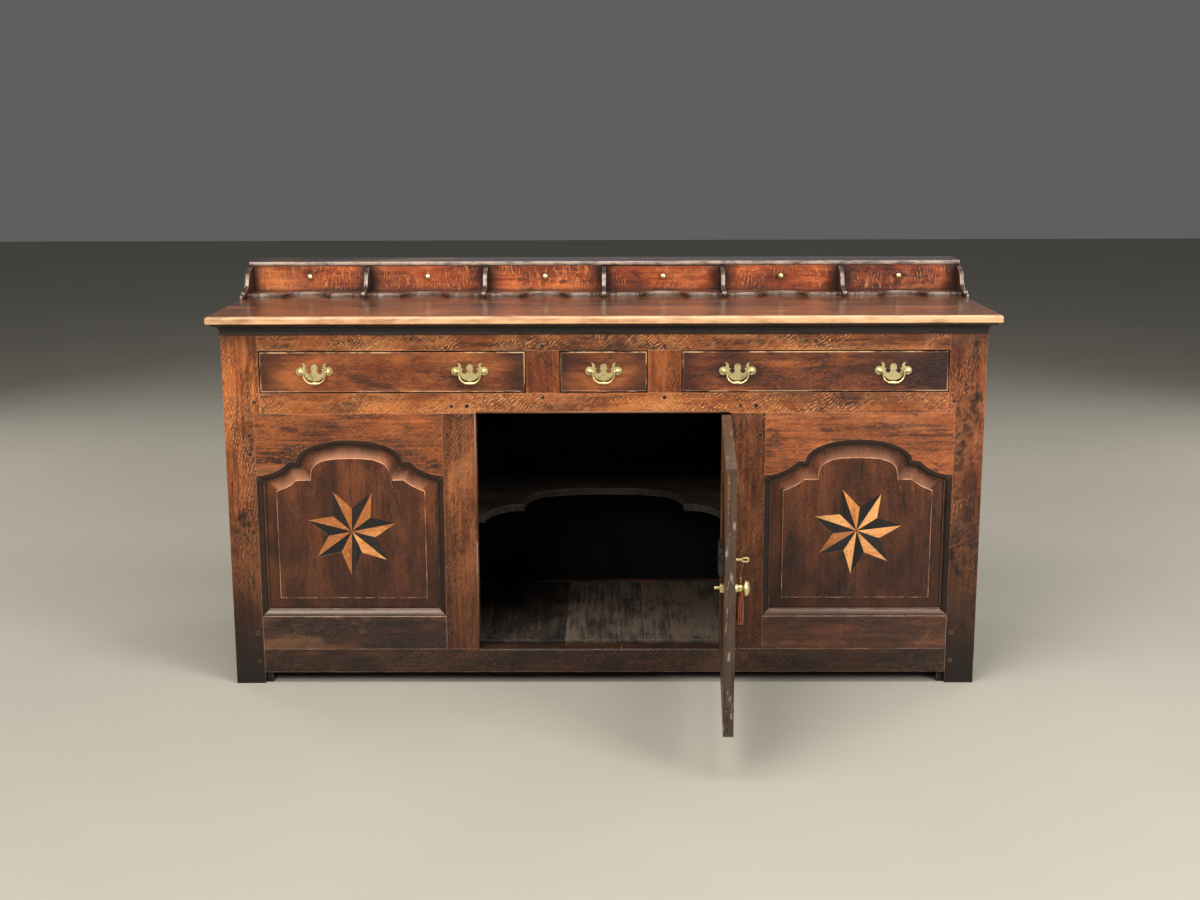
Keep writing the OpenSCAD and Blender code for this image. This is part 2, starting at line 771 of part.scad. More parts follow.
module drawer_muntins() color(oak) both_sides() difference() {
  union() {
    block([muntin_x - muntin_w / 2, 0, drawer_z], [muntin_x + muntin_w / 2, rail_t, top_rail_z]);
    block(muntin_tenon(mid_tenon_z(), 0), muntin_tenon_end(top_rail_z + muntin_tenon_l, 0));
  }
  peg_holes();
}

// Posts beside the door: moulded to the panels, with a chip worn in the left one's edge
chip_r = 26;
chip_z = 368;
chip_in = 5;
strike_play = 1.3;
strike_d = 1.2 * bolt_throw;
module door_post() {
  difference() {
    union() {
      block([open_x, 0, sill_z], [door_post_x, door_post_t, mid_z]);
      block(door_post_tenon(sill_z - door_post_tenon_l, 0),
        door_post_tenon_end(mid_z + door_post_tenon_l, 0));
    }
    translate([panel_x, 0, 0]) mirror([1, 0, 0])
      upright_cuts(sight_half, sill_z - over, lower_z, mid_z + over, tenon_l);
    peg_holes();
  }
  translate([panel_x, 0, 0]) mirror([1, 0, 0]) upright_strip(sight_half, lower_z);
}
module door_posts() color(oak) {
  difference() {
    door_post();
    for (z = hinge_places()) hinge_seat(open_x - over, open_x + leaf_t, z);
  }
  mirror([1, 0, 0]) difference() {
    door_post();
    translate([open_x - chip_r + chip_in, 0, chip_z]) rotate([90, 0, 0])
      translate([0, 0, -chip_in]) cylinder(chip_in + over, chip_r, chip_r);
    block([open_x - over, bolt_y - fit, bolt_z - strike_play],
      [open_x + strike_d, bolt_y + bolt_t + fit, bolt_z + bolt_h + strike_play]);
  }
}

module at_panels() both_sides() translate([panel_x, 0, 0]) children();

module arched_rails() color(oak) difference() {
  at_panels() arched_rail(sight_half, mid_z, frame_t, tenon_l);
  peg_holes();
}
module lower_rails() color(oak) difference() {
  at_panels() straight_rail(sight_half, sill_z, lower_z, frame_t, tenon_l);
  peg_holes();
}
module fielded_panels() color(oak) {
  translate([-panel_x, 0, 0]) arched_panel(sight_half, lower_z, star_turn_left);
  translate([panel_x, 0, 0]) arched_panel(sight_half, lower_z, star_turn_right);
}
module star_pair(side) {
  translate([-panel_x, 0, 0]) star_inlay(star_turn_left, side);
  translate([panel_x, 0, 0]) star_inlay(star_turn_right, side);
}
module star_light_inlays() color(inlay_pale) star_pair(1);
module star_dark_inlays() color(inlay_black) star_pair(-1);

// Worktop: two boards, with the worn edge rounded at the front and sides
top_half = half_w + top_over;
function worn_edge(y0, y1, front, back) = concat(
  front ? concat(arc(y0 + top_round, post_h + top_round / 2, top_round, top_round / 2, 270, 180, 4),
      arc(y0 + top_round, worktop_z - top_round, top_round, top_round, 180, 90, 6))
    : [[y0, post_h], [y0, worktop_z]],
  back ? concat(arc(y1 - top_round, worktop_z - top_round, top_round, top_round, 90, 0, 6),
      arc(y1 - top_round, post_h + top_round / 2, top_round, top_round / 2, 0, -90, 4))
    : [[y1, worktop_z], [y1, post_h]]);
module top_board(y0, y1, front) intersection() {
  bar_x(-top_half, top_half) polygon(worn_edge(y0, y1, front, false));
  board(y0 - over, y1 + over) polygon(worn_edge(-top_half, top_half, true, true));
}
module worktop_boards() color(oak) {
  top_board(-top_over, top_joint_y, true);
  top_board(top_joint_y + board_gap / 2, body_d, false);
}

// Moulding under the worktop: bead, cavetto and fillet, mitred at the front corners
cornice_bead = 4;
cornice_lip = 5;
cornice_flat = 2.5;
function cornice() = let (z = post_h - cornice_h, c = cornice_p - cornice_flat, b = cornice_bead)
  concat([[0, z]], arc(b / 2, z + b / 2, b / 2, b / 2, -90, 90, 6),
    arc(c, z + b, c - b / 4, cornice_h - cornice_lip - b, 180, 90, 8),
    [[cornice_p, post_h - cornice_lip], [cornice_p, post_h], [0, post_h]]);
module worktop_moulding() color(dark_oak) {
  outer = half_w + cornice_p;
  intersection() {
    bar_x(-outer, outer) polygon([for (p = cornice()) [-p.x, p.y]]);
    slab(post_h - cornice_h - over, post_h + over)
      polygon([[-half_w, 0], [half_w, 0], [outer, -cornice_p], [outer, -cornice_p - over],
        [-outer, -cornice_p - over], [-outer, -cornice_p]]);
  }
  both_sides() intersection() {
    board(-cornice_p, body_d) polygon([for (p = cornice()) [half_w + p.x, p.y]]);
    slab(post_h - cornice_h - over, post_h + over)
      polygon([[half_w, 2 * glue_gap], [outer, 2 * glue_gap - cornice_p], [outer + over, 0],
        [outer + over, body_d], [half_w - over, body_d], [half_w - over, 2 * glue_gap]]);
  }
}

// Floor boards, cut round the front posts, and the shaped shelf
floor_lift = 10;
floor_play = 2;
floor_z = sill_z + floor_lift;
floor_x = side_x - floor_play;
floor_end = rear_y - floor_play;
module floor_boards() color(dark_oak) {
  width = (2 * floor_x + board_gap) / floor_n;
  difference() {
    for (i = [0:floor_n - 1])
      block([-floor_x + i * width, sill_t, floor_z - floor_t],
        [-floor_x + (i + 1) * width - board_gap, floor_end, floor_z]);
    both_sides() block([post_x - 2 * fit, 0, 0], [half_w, post_t + 2 * fit, floor_z + over]);
  }
}
nose_in = 11;
bay_step = 3;
bay_n = 14;
function shelf_edge() = let (
    nose = open_x - nose_in,
    cusp = 0.7 * nose,
    bay_y = shelf_y + shelf_lobe + bay_step,
    lobe = arc(cusp, shelf_y, nose - cusp, shelf_lobe, 0, 90, 8),
    bay = [for (i = [0:bay_n]) let (t = 90 * i / bay_n) [0.985 * cusp * pow(cos(t), 2 / 3),
      bay_y + (shelf_bay - bay_step) * pow(sin(t), 2 / 3)]]
  ) concat(lobe, bay);
module shelf() color(dark_oak) {
  half = shelf_edge();
  slab(shelf_z - shelf_t, shelf_z) polygon(concat(
    [[floor_x, floor_end], [-floor_x, floor_end], [-floor_x, shelf_y]],
    flipped(half), [for (i = [len(half) - 2:-1:0]) half[i]], [[floor_x, shelf_y]]));
}

// Runners and guides that carry the drawers, and cleats under the shelf and floor
cleat_h = 26;
cleat_w = 22;
module runner(x0, x1, guide0, guide1) {
  block([x0, rail_t, runner_z], [x1, rear_y + runner_seat, drawer_z]);
  block([guide0, rail_t, drawer_z - over], [guide1, rear_y, drawer_z + guide_h]);
}
module runners_and_cleats() color(pale_oak) {
  both_sides() {
    runner(muntin_x - muntin_w / 2 - runner_w, muntin_x + muntin_w / 2 + runner_w,
      muntin_x - muntin_w / 2, muntin_x + muntin_w / 2);
    difference() {
      runner(post_x - runner_w, side_x - glue_gap, post_x, side_x - glue_gap);
      block([post_x, 0, 0], [half_w, post_t + fit, post_h]);
      block([half_w - rear_w, rear_y, 0], [half_w, body_d, post_h]);
    }
    block([side_x - cleat_w, post_t + fit, shelf_z - shelf_t - cleat_h],
      [side_x - glue_gap, floor_end, shelf_z - shelf_t]);
    block([side_x - cleat_w, post_t + fit, floor_z - floor_t - cleat_h],
      [side_x - glue_gap, floor_end, floor_z - floor_t]);
  }
  block([floor_play - post_x, sill_t, floor_z - floor_t - cleat_h],
    [post_x - floor_play, sill_t + cleat_w, floor_z - floor_t]);
  block([cleat_w - side_x + fit, rear_y - cleat_w, shelf_z - shelf_t - cleat_h],
    [side_x - cleat_w - fit, rear_y, shelf_z - shelf_t]);
}

// Drawers: x is the middle of the opening and w its width
module rounded_frame(x, w, z0, z1, r) {
  for (z = [z0 + r, z1 - r]) translate([x - w / 2 + r, 0, z]) rotate([0, 90, 0]) cylinder(w - 2 * r, r, r);
  for (s = [-1, 1]) {
    translate([x + s * (w / 2 - r), 0, z0 + r]) cylinder(z1 - z0 - 2 * r, r, r);
    for (z = [z0 + r, z1 - r]) translate([x + s * (w / 2 - r), 0, z]) sphere(r);
  }
}
module drawer_front(x, w, holes) color(drawer_oak) {
  z0 = drawer_z + front_lift;
  z1 = z0 + front_h;
  wide = w - 2 * drawer_gap;
  r = bead_w / 2;
  difference() {
    union() {
      block([x - wide / 2 + r, 0, z0 + r], [x + wide / 2 - r, front_t, z1 - r]);
      block([x - wide / 2, r, z0], [x + wide / 2, front_t, z1]);
      translate([0, 0.6 * r, 0]) rounded_frame(x, wide, z0, z1, r);
    }
    for (h = holes, s = [-1, 1])
      bar_y(h + s * handle_span / 2, handle_z, -over, front_t + over, bolt_r + fit);
  }
}
module drawer_box(x, w) color(pale_oak) {
  wide = w - 2 * drawer_gap - box_play;
  z0 = drawer_z + box_lift;
  y0 = front_t + glue_gap;
  y1 = front_t + box_l;
  difference() {
    for (s = [-1, 1])
      block([x + s * wide / 2 - (s > 0 ? side_t : 0), y0, z0],
        [x + s * wide / 2 + (s > 0 ? 0 : side_t), y1, z0 + box_h]);
    block([x - wide / 2 + side_t - dado, y0 - over, z0 + slot_z - glue_gap],
      [x + wide / 2 - side_t + dado, y1 + over, z0 + slot_z + bottom_t + glue_gap]);
  }
  block([x - wide / 2 + side_t + glue_gap, y1 - side_t, z0 + slot_z + bottom_t + glue_gap],
    [x + wide / 2 - side_t - glue_gap, y1, z0 + box_h]);
  block([x - wide / 2 + side_t - dado + glue_gap, y0, z0 + slot_z],
    [x + wide / 2 - side_t + dado - glue_gap, y1, z0 + slot_z + bottom_t]);
}

// Handles
module half_plate() {
  translate([handle_span / 2, 0]) circle(plate_lobe_r);
  polygon(concat([[0, plate_band_h], [plate_half, plate_band_h]],
    arc(0, -plate_skirt, plate_half + plate_skirt, plate_depth - plate_skirt, 0, -90, 14)));
  translate([0, -plate_band_h]) square([handle_span / 2, 2 * plate_band_h]);
  translate([0, head_z]) circle(head_r);
  intersection() {
    difference() {
      translate([horn_x, horn_z]) circle(horn_r);
      translate([horn_cut_x, horn_cut_z]) circle(horn_cut_r);
    }
    translate([horn_x - horn_r, 0]) square([horn_r + horn_lip, horn_top]);
  }
}
module handle_plate(x) translate([x, 0, handle_z]) difference() {
  board(-plate_t, 0) union() {
    for (s = [0, 1]) mirror([s, 0]) difference() {
      half_plate();
      translate([bite_x, 0]) circle(bite_r);
      translate([bite_x - bite_slot / 2, 0]) square([bite_slot, plate_band_h + over]);
    }
  }
  for (s = [-1, 1]) bar_y(s * handle_span / 2, 0, -plate_t - over, over, bolt_r + fit);
}
module handle_post(x) translate([x, 0, handle_z]) {
  collar_y = plate_t + post_collar_t;
  difference() {
    union() {
      rotate([90, 0, 0]) rotate_extrude() polygon(concat([[0, plate_t + glue_gap],
        [post_collar_r, plate_t + glue_gap], [post_collar_r, collar_y],
        [0.8 * post_r, collar_y + post_neck_l]],
        arc(0, post_reach, post_ball_r, post_ball_r, -50, 90, 10)));
      bar_y(0, 0, -plate_t - bolt_end, front_t + nut_t + bolt_end, bolt_r);
    }
    translate([-2 * post_r, -bail_y - plate_t, 0]) rotate([0, 90, 0])
      cylinder(4 * post_r, trunnion_r + trunnion_fit, trunnion_r + trunnion_fit);
  }
  difference() {
    bar_y(0, 0, front_t + glue_gap, front_t + nut_t, nut_r);
    bar_y(0, 0, front_t - over, front_t + nut_t + over, bolt_r + glue_gap);
  }
}
module handles(places) color(brass) for (x = places) {
  handle_plate(x);
  for (s = [-1, 1]) handle_post(x + s * handle_span / 2);
}
module bail_arm() {
  translate([bail_half + elbow_r - arm_lap, 0, 0]) rotate([0, 90, 0])
    cylinder(handle_span / 2 - bail_half - elbow_r + arm_lap + arm_past, trunnion_r, trunnion_r);
  translate([bail_half + elbow_r, 0, -elbow_r]) rotate([90, 0, 0]) rotate([0, 0, 90])
    rotate_extrude(angle = 90) translate([elbow_r, 0]) circle(bail_r);
  translate([bail_half, 0, bail_bend - bail_drop])
    cylinder(bail_drop - bail_bend - elbow_r, bail_r, bail_r);
  translate([bail_half - bail_bend, 0, -bail_drop + bail_bend]) rotate([90, 0, 0]) rotate([0, 0, -90])
    rotate_extrude(angle = 90) translate([bail_bend, 0]) circle(bail_r);
}
module bail(x) color(brass) translate([x, -bail_y - plate_t, handle_z]) {
  both_sides() bail_arm();
  translate([-swell_l / 2, 0, -bail_drop]) rotate([0, 90, 0]) rotate_extrude()
    polygon(concat([[0, 0]], [for (i = [0:12]) let (t = i / 12)
      [bail_r + (swell_r - bail_r) * pow(sin(180 * t), 2), swell_l * t]], [[0, swell_l]]));
}
left_x = -(side_open_x0 + side_open_w / 2);
right_x = -left_x;
function handle_places(i) = i < 2 ? left_x + (2 * i - 1) * handle_set
  : i == 2 ? 0 : right_x + (2 * i - 7) * handle_set;

// Small drawers of the gallery, counted from the left
function bay_x(i) = -gallery_x + divider_t / 2 + (i + 0.5) * bay_pitch;
module spice_drawer(i) color(oak) {
  short = i == short_drawer ? short_by : 0;
  x0 = bay_x(i) - bay_w / 2 + spice_gap;
  x1 = bay_x(i) + bay_w / 2 - spice_gap;
  z0 = gallery_z + spice_gap;
  z1 = gallery_top_z - spice_gap - short;
  y0 = gallery_y + spice_set;
  y1 = body_d - gallery_back_t - spice_back_gap;
  difference() {
    block([x0, y0, z0], [x1, y1, z1]);
    block([x0 + spice_side_t, y0 + spice_front_t, z0 + spice_bottom_t],
      [x1 - spice_side_t, y1 - spice_side_t, z1 + over]);
    block([x0 - over, y0 + spice_front_t, z1 - spice_side_drop],
      [x1 + over, y1 + over, z1 + over]);
    bar_y(bay_x(i), spice_knob_z, y0 - over, y0 + spice_front_t + over, spice_stem_r + fit);
  }
}
module spice_knob(i) color(brass) translate([bay_x(i), gallery_y + spice_set, spice_knob_z])
  rotate([90, 0, 0]) {
    r = spice_knob_d / 2;
    end = -spice_front_t - spice_nut_t;
    rotate_extrude() polygon(concat([[0, 0], [0.6 * r, 0], [0.55 * r, spice_foot_h],
      [0.34 * r, spice_neck_l]], arc(0, spice_knob_l - 0.62 * r, r, 0.62 * r, -60, 90, 12)));
    translate([0, 0, end]) cylinder(over - end, spice_stem_r, spice_stem_r);
    translate([0, 0, end]) cylinder(spice_nut_t - glue_gap, 2.2 * spice_stem_r, 2.2 * spice_stem_r);
  }

// Gallery: scalloped base on the worktop, sloping dividers, back and top board
function scallop() = let (
    half = bay_pitch / 2,
    lobe_y = base_y + 0.3 * scallop_d,
    c1 = 0.37 * half,
    c2 = 0.86 * half
  ) concat([[half, base_y]],
    arc(c2, lobe_y, half - c2, 0.3 * scallop_d, -30, 60, 4),
    arc((c1 + c2) / 2, lobe_y, (c2 - c1) / 2, 0.34 * scallop_d, 30, 180, 8),
    [for (i = [1:10]) let (t = 9 * i) [c1 * cos(t), lobe_y + 0.7 * scallop_d * sin(t)]]);
function bay_edge() = let (half = scallop())
  concat(flipped(half), [for (i = [len(half) - 2:-1:0]) half[i]]);
module gallery_base() color(oak) slab(worktop_z, gallery_z) polygon(concat(
  [[gallery_x, body_d], [-gallery_x, body_d], [-gallery_x, base_y]],
  [for (i = [0:spice_n - 1], p = bay_edge()) [p.x + bay_x(i), p.y]],
  [[gallery_x, base_y]]));
function divider_edge() = let (
    h = gallery_h,
    l = toe_l,
    back = body_d - gallery_back_t
  ) concat([[back, 0], [gallery_y - l, 0]],
    arc(gallery_y - l + 0.06 * h, 0.06 * h, 0.06 * h, 0.06 * h, 180, 90, 3),
    arc(gallery_y - l + 0.12 * h, 0.5 * h, 0.42 * l, 0.38 * h, 270, 335, 6),
    arc(gallery_y - divider_lip, 0.5 * h, 0.5 * l - divider_lip, 0.44 * h, 178, 100, 8),
    [[gallery_y, h], [back, h]]);
module gallery_dividers() color(oak) for (i = [0:spice_n])
  bar_x(-gallery_x + i * bay_pitch, -gallery_x + i * bay_pitch + divider_t)
    polygon([for (p = divider_edge()) [p.x, gallery_z + p.y]]);
module gallery_top() color(oak) {
  r = gallery_top_t / 2;
  bar_x(-gallery_x, gallery_x) polygon(concat(
    arc(gallery_y + 0.6 * r, gallery_top_z + r, 0.6 * r, r, 270, 90, 10),
    [[body_d, gallery_top_z + 2 * r], [body_d, gallery_top_z]]));
}

// Door, drawn shut and swung about its hinge pin to where it stands
module door_place() translate([pin_x, pin_y, 0]) rotate([0, 0, door_open])
  translate([-pin_x, -pin_y, 0]) children();
module door_centre() translate([door_mid, 0, 0]) children();
door_half = door_w / 2;
door_sight = door_half - door_stile_w;
tenon_recess = 1.5;
door_tenon_l = door_stile_w - tenon_recess;
function hinge_places() = [door_z0 + hinge_set, door_z1 - hinge_set];
module door_stile() translate([glue_gap, 0, 0]) {
  difference() {
    block([door_sight, 0, door_z0], [door_half - glue_gap, door_t, door_z1]);
    block([door_sight - over, -over, door_z0 - over],
      [door_sight + mould_w, lip_d + glue_gap, door_z1 + over]);
    block([door_sight - over, groove_y, lower_z + mould_w - groove_d],
      [door_sight + groove_d, groove_y + groove_w, spring_z + tenon_shoulder]);
    for (z = [[door_z0, lower_z], [spring_z + tenon_shoulder, door_z1]])
      block([door_sight - over, tenon_y - fit, z[0] + tenon_shoulder - fit],
        [door_half + over, tenon_y + tenon_t + fit, z[1] - tenon_shoulder + fit]);
  }
  upright_strip(door_sight, lower_z);
}
module door_frame() color(oak) door_place() {
  difference() {
    door_centre() both_sides() door_stile();
    bar_y(key_x, key_z, -over, door_t + over, keyhole_r);
    bar_y(knob_x, knob_z, -over, door_t + over, spindle_r + fit);
    for (z = hinge_places()) hinge_seat(door_x1 - leaf_t, door_x1 + over, z);
  }
  door_centre() straight_rail(door_sight, door_z0, lower_z, door_t, door_tenon_l);
  door_centre() arched_rail(door_sight, door_z1, door_t, door_tenon_l);
}

// Space that a hinge's leaf and knuckles take out of a post or stile
module hinge_seat(x0, x1, z) {
  block([x0, -over, z - hinge_h / 2 - fit], [x1, leaf_w + fit, z + hinge_h / 2 + fit]);
  translate([pin_x, pin_y, z - hinge_h / 2 - fit])
    cylinder(hinge_h + 2 * fit, knuckle_r + fit, knuckle_r + fit);
}
star_turn_door = (star_turn_left + star_turn_right) / 2;
module door_panel() color(oak) door_place() door_centre()
  arched_panel(door_sight, lower_z, star_turn_door);
module door_star_light() color(inlay_pale) door_place() door_centre() star_inlay(star_turn_door, 1);
module door_star_dark() color(inlay_black) door_place() door_centre() star_inlay(star_turn_door, -1);

// Butt hinges: the post's leaf has the outer knuckles and the pin, the door's leaf the middle one
knuckle_h = hinge_h / 3;
module leaf(x, y, z0, z1) block([x + leaf_gap, y, z0], [x + leaf_t - leaf_gap, leaf_w, z1]);
module knuckle(z0, z1) translate([pin_x, pin_y, z0]) cylinder(z1 - z0, knuckle_r, knuckle_r);
module hinge_leaves_post() color(iron) for (z = hinge_places()) {
  for (run = [[z - hinge_h / 2, z - knuckle_h / 2 - knuckle_gap],
      [z + knuckle_h / 2 + knuckle_gap, z + hinge_h / 2]]) {
    leaf(open_x, pin_y, run[0], run[1]);
    knuckle(run[0], run[1]);
  }
  leaf(open_x, 2 * knuckle_r, z - hinge_h / 2, z + hinge_h / 2);
  translate([pin_x, pin_y, z - hinge_h / 2]) cylinder(hinge_h, hinge_pin_r, hinge_pin_r);
}
module hinge_leaves_door() color(iron) door_place() for (z = hinge_places()) difference() {
  union() {
    leaf(door_x1 - leaf_t, pin_y, z - knuckle_h / 2, z + knuckle_h / 2);
    leaf(door_x1 - leaf_t, 2 * knuckle_r, z - hinge_h / 2, z + hinge_h / 2);
    knuckle(z - knuckle_h / 2, z + knuckle_h / 2);
  }
  translate([pin_x, pin_y, z - hinge_h])
    cylinder(2 * hinge_h, hinge_pin_r + hinge_pin_fit, hinge_pin_r + hinge_pin_fit);
}

// Lock: a case on the back of the stile, its bolt above the turning key
module door_lock() color(iron) door_place() difference() {
  block([door_x0 + lock_in, door_t + glue_gap, key_z - lock_low],
    [door_x0 + lock_in + lock_w, door_t + lock_t, key_z - lock_low + lock_h]);
  block([door_x0 - over, bolt_y - fit, bolt_z - fit],
    [door_x0 + lock_in + bolt_l + fit, bolt_y + bolt_t + fit, bolt_z + bolt_h + fit]);
  bar_y(key_x, key_z, door_t - over, door_t + lock_t - case_back, key_r + key_fit);
  bar_y(key_x, key_z, door_t + case_back, door_t + lock_t - case_back, ward_r + fit);
}
module lock_bolt() color(iron) door_place()
  block([door_x0 + bolt_in, bolt_y, bolt_z],
    [door_x0 + bolt_in + bolt_l, bolt_y + bolt_t, bolt_z + bolt_h]);
module door_key() color(brass) door_place() translate([key_x, 0, key_z]) {
  bar_y(0, 0, -key_reach, door_t + lock_t - 2 * case_back, key_r);
  block([-ward_t / 2, door_t + ward_y, -ward_r], [ward_t / 2, door_t + ward_y + ward_l, 0]);
  translate([0, -key_reach - bow_half, 0]) {
    for (s = [0, 1]) mirror([0, s, 0]) translate([0, s * bow_l, 0]) rotate([0, 90, 0])
      rotate_extrude(angle = 180) translate([bow_half, 0]) circle(bow_tube);
    for (s = [-1, 1]) bar_y(0, s * bow_half, -bow_l, 0, bow_tube);
  }
}

// Round knob on a threaded spindle, held by a square nut inside
module door_knob() color(brass) door_place() translate([knob_x, 0, knob_z]) {
  rotate([90, 0, 0]) rotate_extrude() polygon(concat([[0, 0], [knob_foot_r, 0],
    [knob_cove_r, knob_foot_t], [knob_stem_r, 2 * knob_foot_t], [knob_stem_r, knob_stem_l],
    [0.7 * door_knob_r, knob_swell_l]],
    arc(0, knob_reach - knob_crown_h, door_knob_r, knob_crown_h, -14, 90, 12)));
  bar_y(0, 0, -over, door_t + spindle_end, spindle_r);
  difference() {
    intersection() {
      bar_y(0, 0, door_t + glue_gap, door_t + spindle_nut, spindle_nut_r);
      block([-spindle_nut_flat, 0, -spindle_nut_r], [spindle_nut_flat, 2 * door_t, spindle_nut_r]);
    }
    bar_y(0, 0, door_t - over, door_t + spindle_nut + over, spindle_r + glue_gap);
  }
}

// Tassel on a short thread under the key's bow
module key_tassel() color(silk) door_place() translate([key_x, 0, 0]) {
  translate([0, tassel_y, tassel_top]) sphere(tassel_head_r);
  translate([0, tassel_y, tassel_top]) cylinder(knot_h, knot_r, knot_r);
  translate([0, tassel_y, tassel_low]) rotate_extrude() polygon(concat([[0, 0]],
    arc(0, 0, tassel_r, tassel_top - tassel_low - tassel_head_r * 0.5, 0, 72, 10),
    [[0, tassel_top - tassel_low]]));
}

// Thread from the key's bow down to the tassel's head
function ring(p, r) = [for (k = [0:cord_sides - 1]) let (a = 360 * k / cord_sides)
  [p.x + r * cos(a), p.y + r * sin(a), p.z]];
module tassel_cord() color(silk) door_place() translate([key_x, 0, 0])
  loft([for (p = cord_route) ring(p, thread_r)]);

// The piece stands on the floor, centred on its outline
module placed() translate([0, -centre_y, 0]) children();

placed() front_posts();
placed() rear_posts();
placed() front_rails();
placed() drawer_muntins();
placed() door_posts();
placed() arched_rails();
placed() lower_rails();
placed() fielded_panels();
placed() star_light_inlays();
placed() star_dark_inlays();
placed() side_back_rails();
placed() side_panels();
placed() back_boards();
placed() worktop_boards();
placed() worktop_moulding();
placed() floor_boards();
placed() shelf();
placed() runners_and_cleats();
placed() oak_pegs();
placed() gallery_top();
placed() gallery_base();
placed() gallery_dividers();
placed() hinge_leaves_post();
placed()  // drawer_front_left
  drawer_front(left_x, side_open_w, [handle_places(0), handle_places(1)]);
placed()  // drawer_front_centre
  drawer_front(0, centre_open_w, [handle_places(2)]);
placed()  // drawer_front_right
  drawer_front(right_x, side_open_w, [handle_places(3), handle_places(4)]);
placed() drawer_box(left_x, side_open_w);  // drawer_box_left
placed() drawer_box(0, centre_open_w);  // drawer_box_centre
placed() drawer_box(right_x, side_open_w);  // drawer_box_right
placed()  // handle_plates_left
  handles([handle_places(0), handle_places(1)]);
placed() handles([handle_places(2)]);  // handle_plates_centre
placed()  // handle_plates_right
  handles([handle_places(3), handle_places(4)]);
placed() bail(handle_places(0));  // bail_1
placed() bail(handle_places(1));  // bail_2
placed() bail(handle_places(2));  // bail_3
placed() bail(handle_places(3));  // bail_4
placed() bail(handle_places(4));  // bail_5
placed() spice_drawer(0);  // spice_drawer_1
placed() spice_drawer(1);  // spice_drawer_2
placed() spice_drawer(2);  // spice_drawer_3
placed() spice_drawer(3);  // spice_drawer_4
placed() spice_drawer(4);  // spice_drawer_5
placed() spice_drawer(5);  // spice_drawer_6
placed() spice_knob(0);  // spice_knob_1
placed() spice_knob(1);  // spice_knob_2
placed() spice_knob(2);  // spice_knob_3
placed() spice_knob(3);  // spice_knob_4
placed() spice_knob(4);  // spice_knob_5
placed() spice_knob(5);  // spice_knob_6
placed() door_frame();
placed() door_panel();
placed() door_star_light();
placed() door_star_dark();
placed() hinge_leaves_door();
placed() door_lock();
placed() lock_bolt();
placed() door_key();
placed() door_knob();
placed() key_tassel();
placed() tassel_cord();
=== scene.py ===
"""Oak dresser base with a gallery of spice drawers: camera, light, finishes and fine pieces."""

import math
import random

import bpy
from mathutils import Matrix, Vector


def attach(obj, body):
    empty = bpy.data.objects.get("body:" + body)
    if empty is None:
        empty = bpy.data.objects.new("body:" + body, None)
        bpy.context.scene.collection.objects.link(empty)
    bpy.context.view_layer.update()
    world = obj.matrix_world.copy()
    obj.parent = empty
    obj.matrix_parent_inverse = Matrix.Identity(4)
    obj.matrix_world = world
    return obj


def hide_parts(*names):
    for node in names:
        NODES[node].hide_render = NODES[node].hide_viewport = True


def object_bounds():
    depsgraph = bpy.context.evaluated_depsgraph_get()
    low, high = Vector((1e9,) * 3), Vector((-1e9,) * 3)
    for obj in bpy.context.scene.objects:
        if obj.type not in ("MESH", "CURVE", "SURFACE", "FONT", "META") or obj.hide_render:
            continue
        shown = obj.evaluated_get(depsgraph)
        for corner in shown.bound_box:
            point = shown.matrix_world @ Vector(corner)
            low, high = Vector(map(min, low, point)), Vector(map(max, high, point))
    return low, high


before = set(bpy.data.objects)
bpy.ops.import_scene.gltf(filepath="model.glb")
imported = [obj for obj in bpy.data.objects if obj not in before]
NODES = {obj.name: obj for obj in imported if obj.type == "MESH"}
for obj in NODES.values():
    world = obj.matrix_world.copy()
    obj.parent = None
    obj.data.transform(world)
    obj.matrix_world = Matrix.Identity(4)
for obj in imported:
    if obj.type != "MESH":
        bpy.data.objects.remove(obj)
CAD_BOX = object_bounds()
X, Y, Z = 0, 1, 2

ROW_Y = 0.00845215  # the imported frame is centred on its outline
NOSE_Y = -0.0280 + ROW_Y  # front edge of the worktop
DOOR_OPEN = math.radians(87)
PIN = Vector((0.2993, -0.0015 + ROW_Y, 0))
OPEN = Matrix.Translation(PIN) @ Matrix.Rotation(DOOR_OPEN, 4, "Z") @ Matrix.Translation(-PIN)
SHUT = OPEN.inverted()


# Camera, at the photograph's viewing angle
CAMERA_AT = (0.01505, -3.72962, 1.35150)
CAMERA_LENS, CAMERA_SENSOR = 48.735, 36
PITCH, YAW, ROLL = 0.2046, -0.0064, -0.0032


def make_camera():
    level = math.cos(PITCH)
    ahead = Vector((math.sin(YAW) * level, math.cos(YAW) * level, -math.sin(PITCH)))
    right = Vector((math.cos(YAW), -math.sin(YAW), 0))
    up = right.cross(ahead)
    across = math.cos(ROLL) * right + math.sin(ROLL) * up
    upward = -math.sin(ROLL) * right + math.cos(ROLL) * up
    data = bpy.data.cameras.new("camera")
    data.sensor_width = CAMERA_SENSOR
    data.sensor_fit = "HORIZONTAL"
    data.lens = CAMERA_LENS
    camera = bpy.data.objects.new("camera", data)
    bpy.context.collection.objects.link(camera)
    turn = Matrix((across, upward, -ahead)).transposed().to_4x4()
    camera.matrix_world = Matrix.Translation(CAMERA_AT) @ turn
    bpy.context.scene.camera = camera


make_camera()


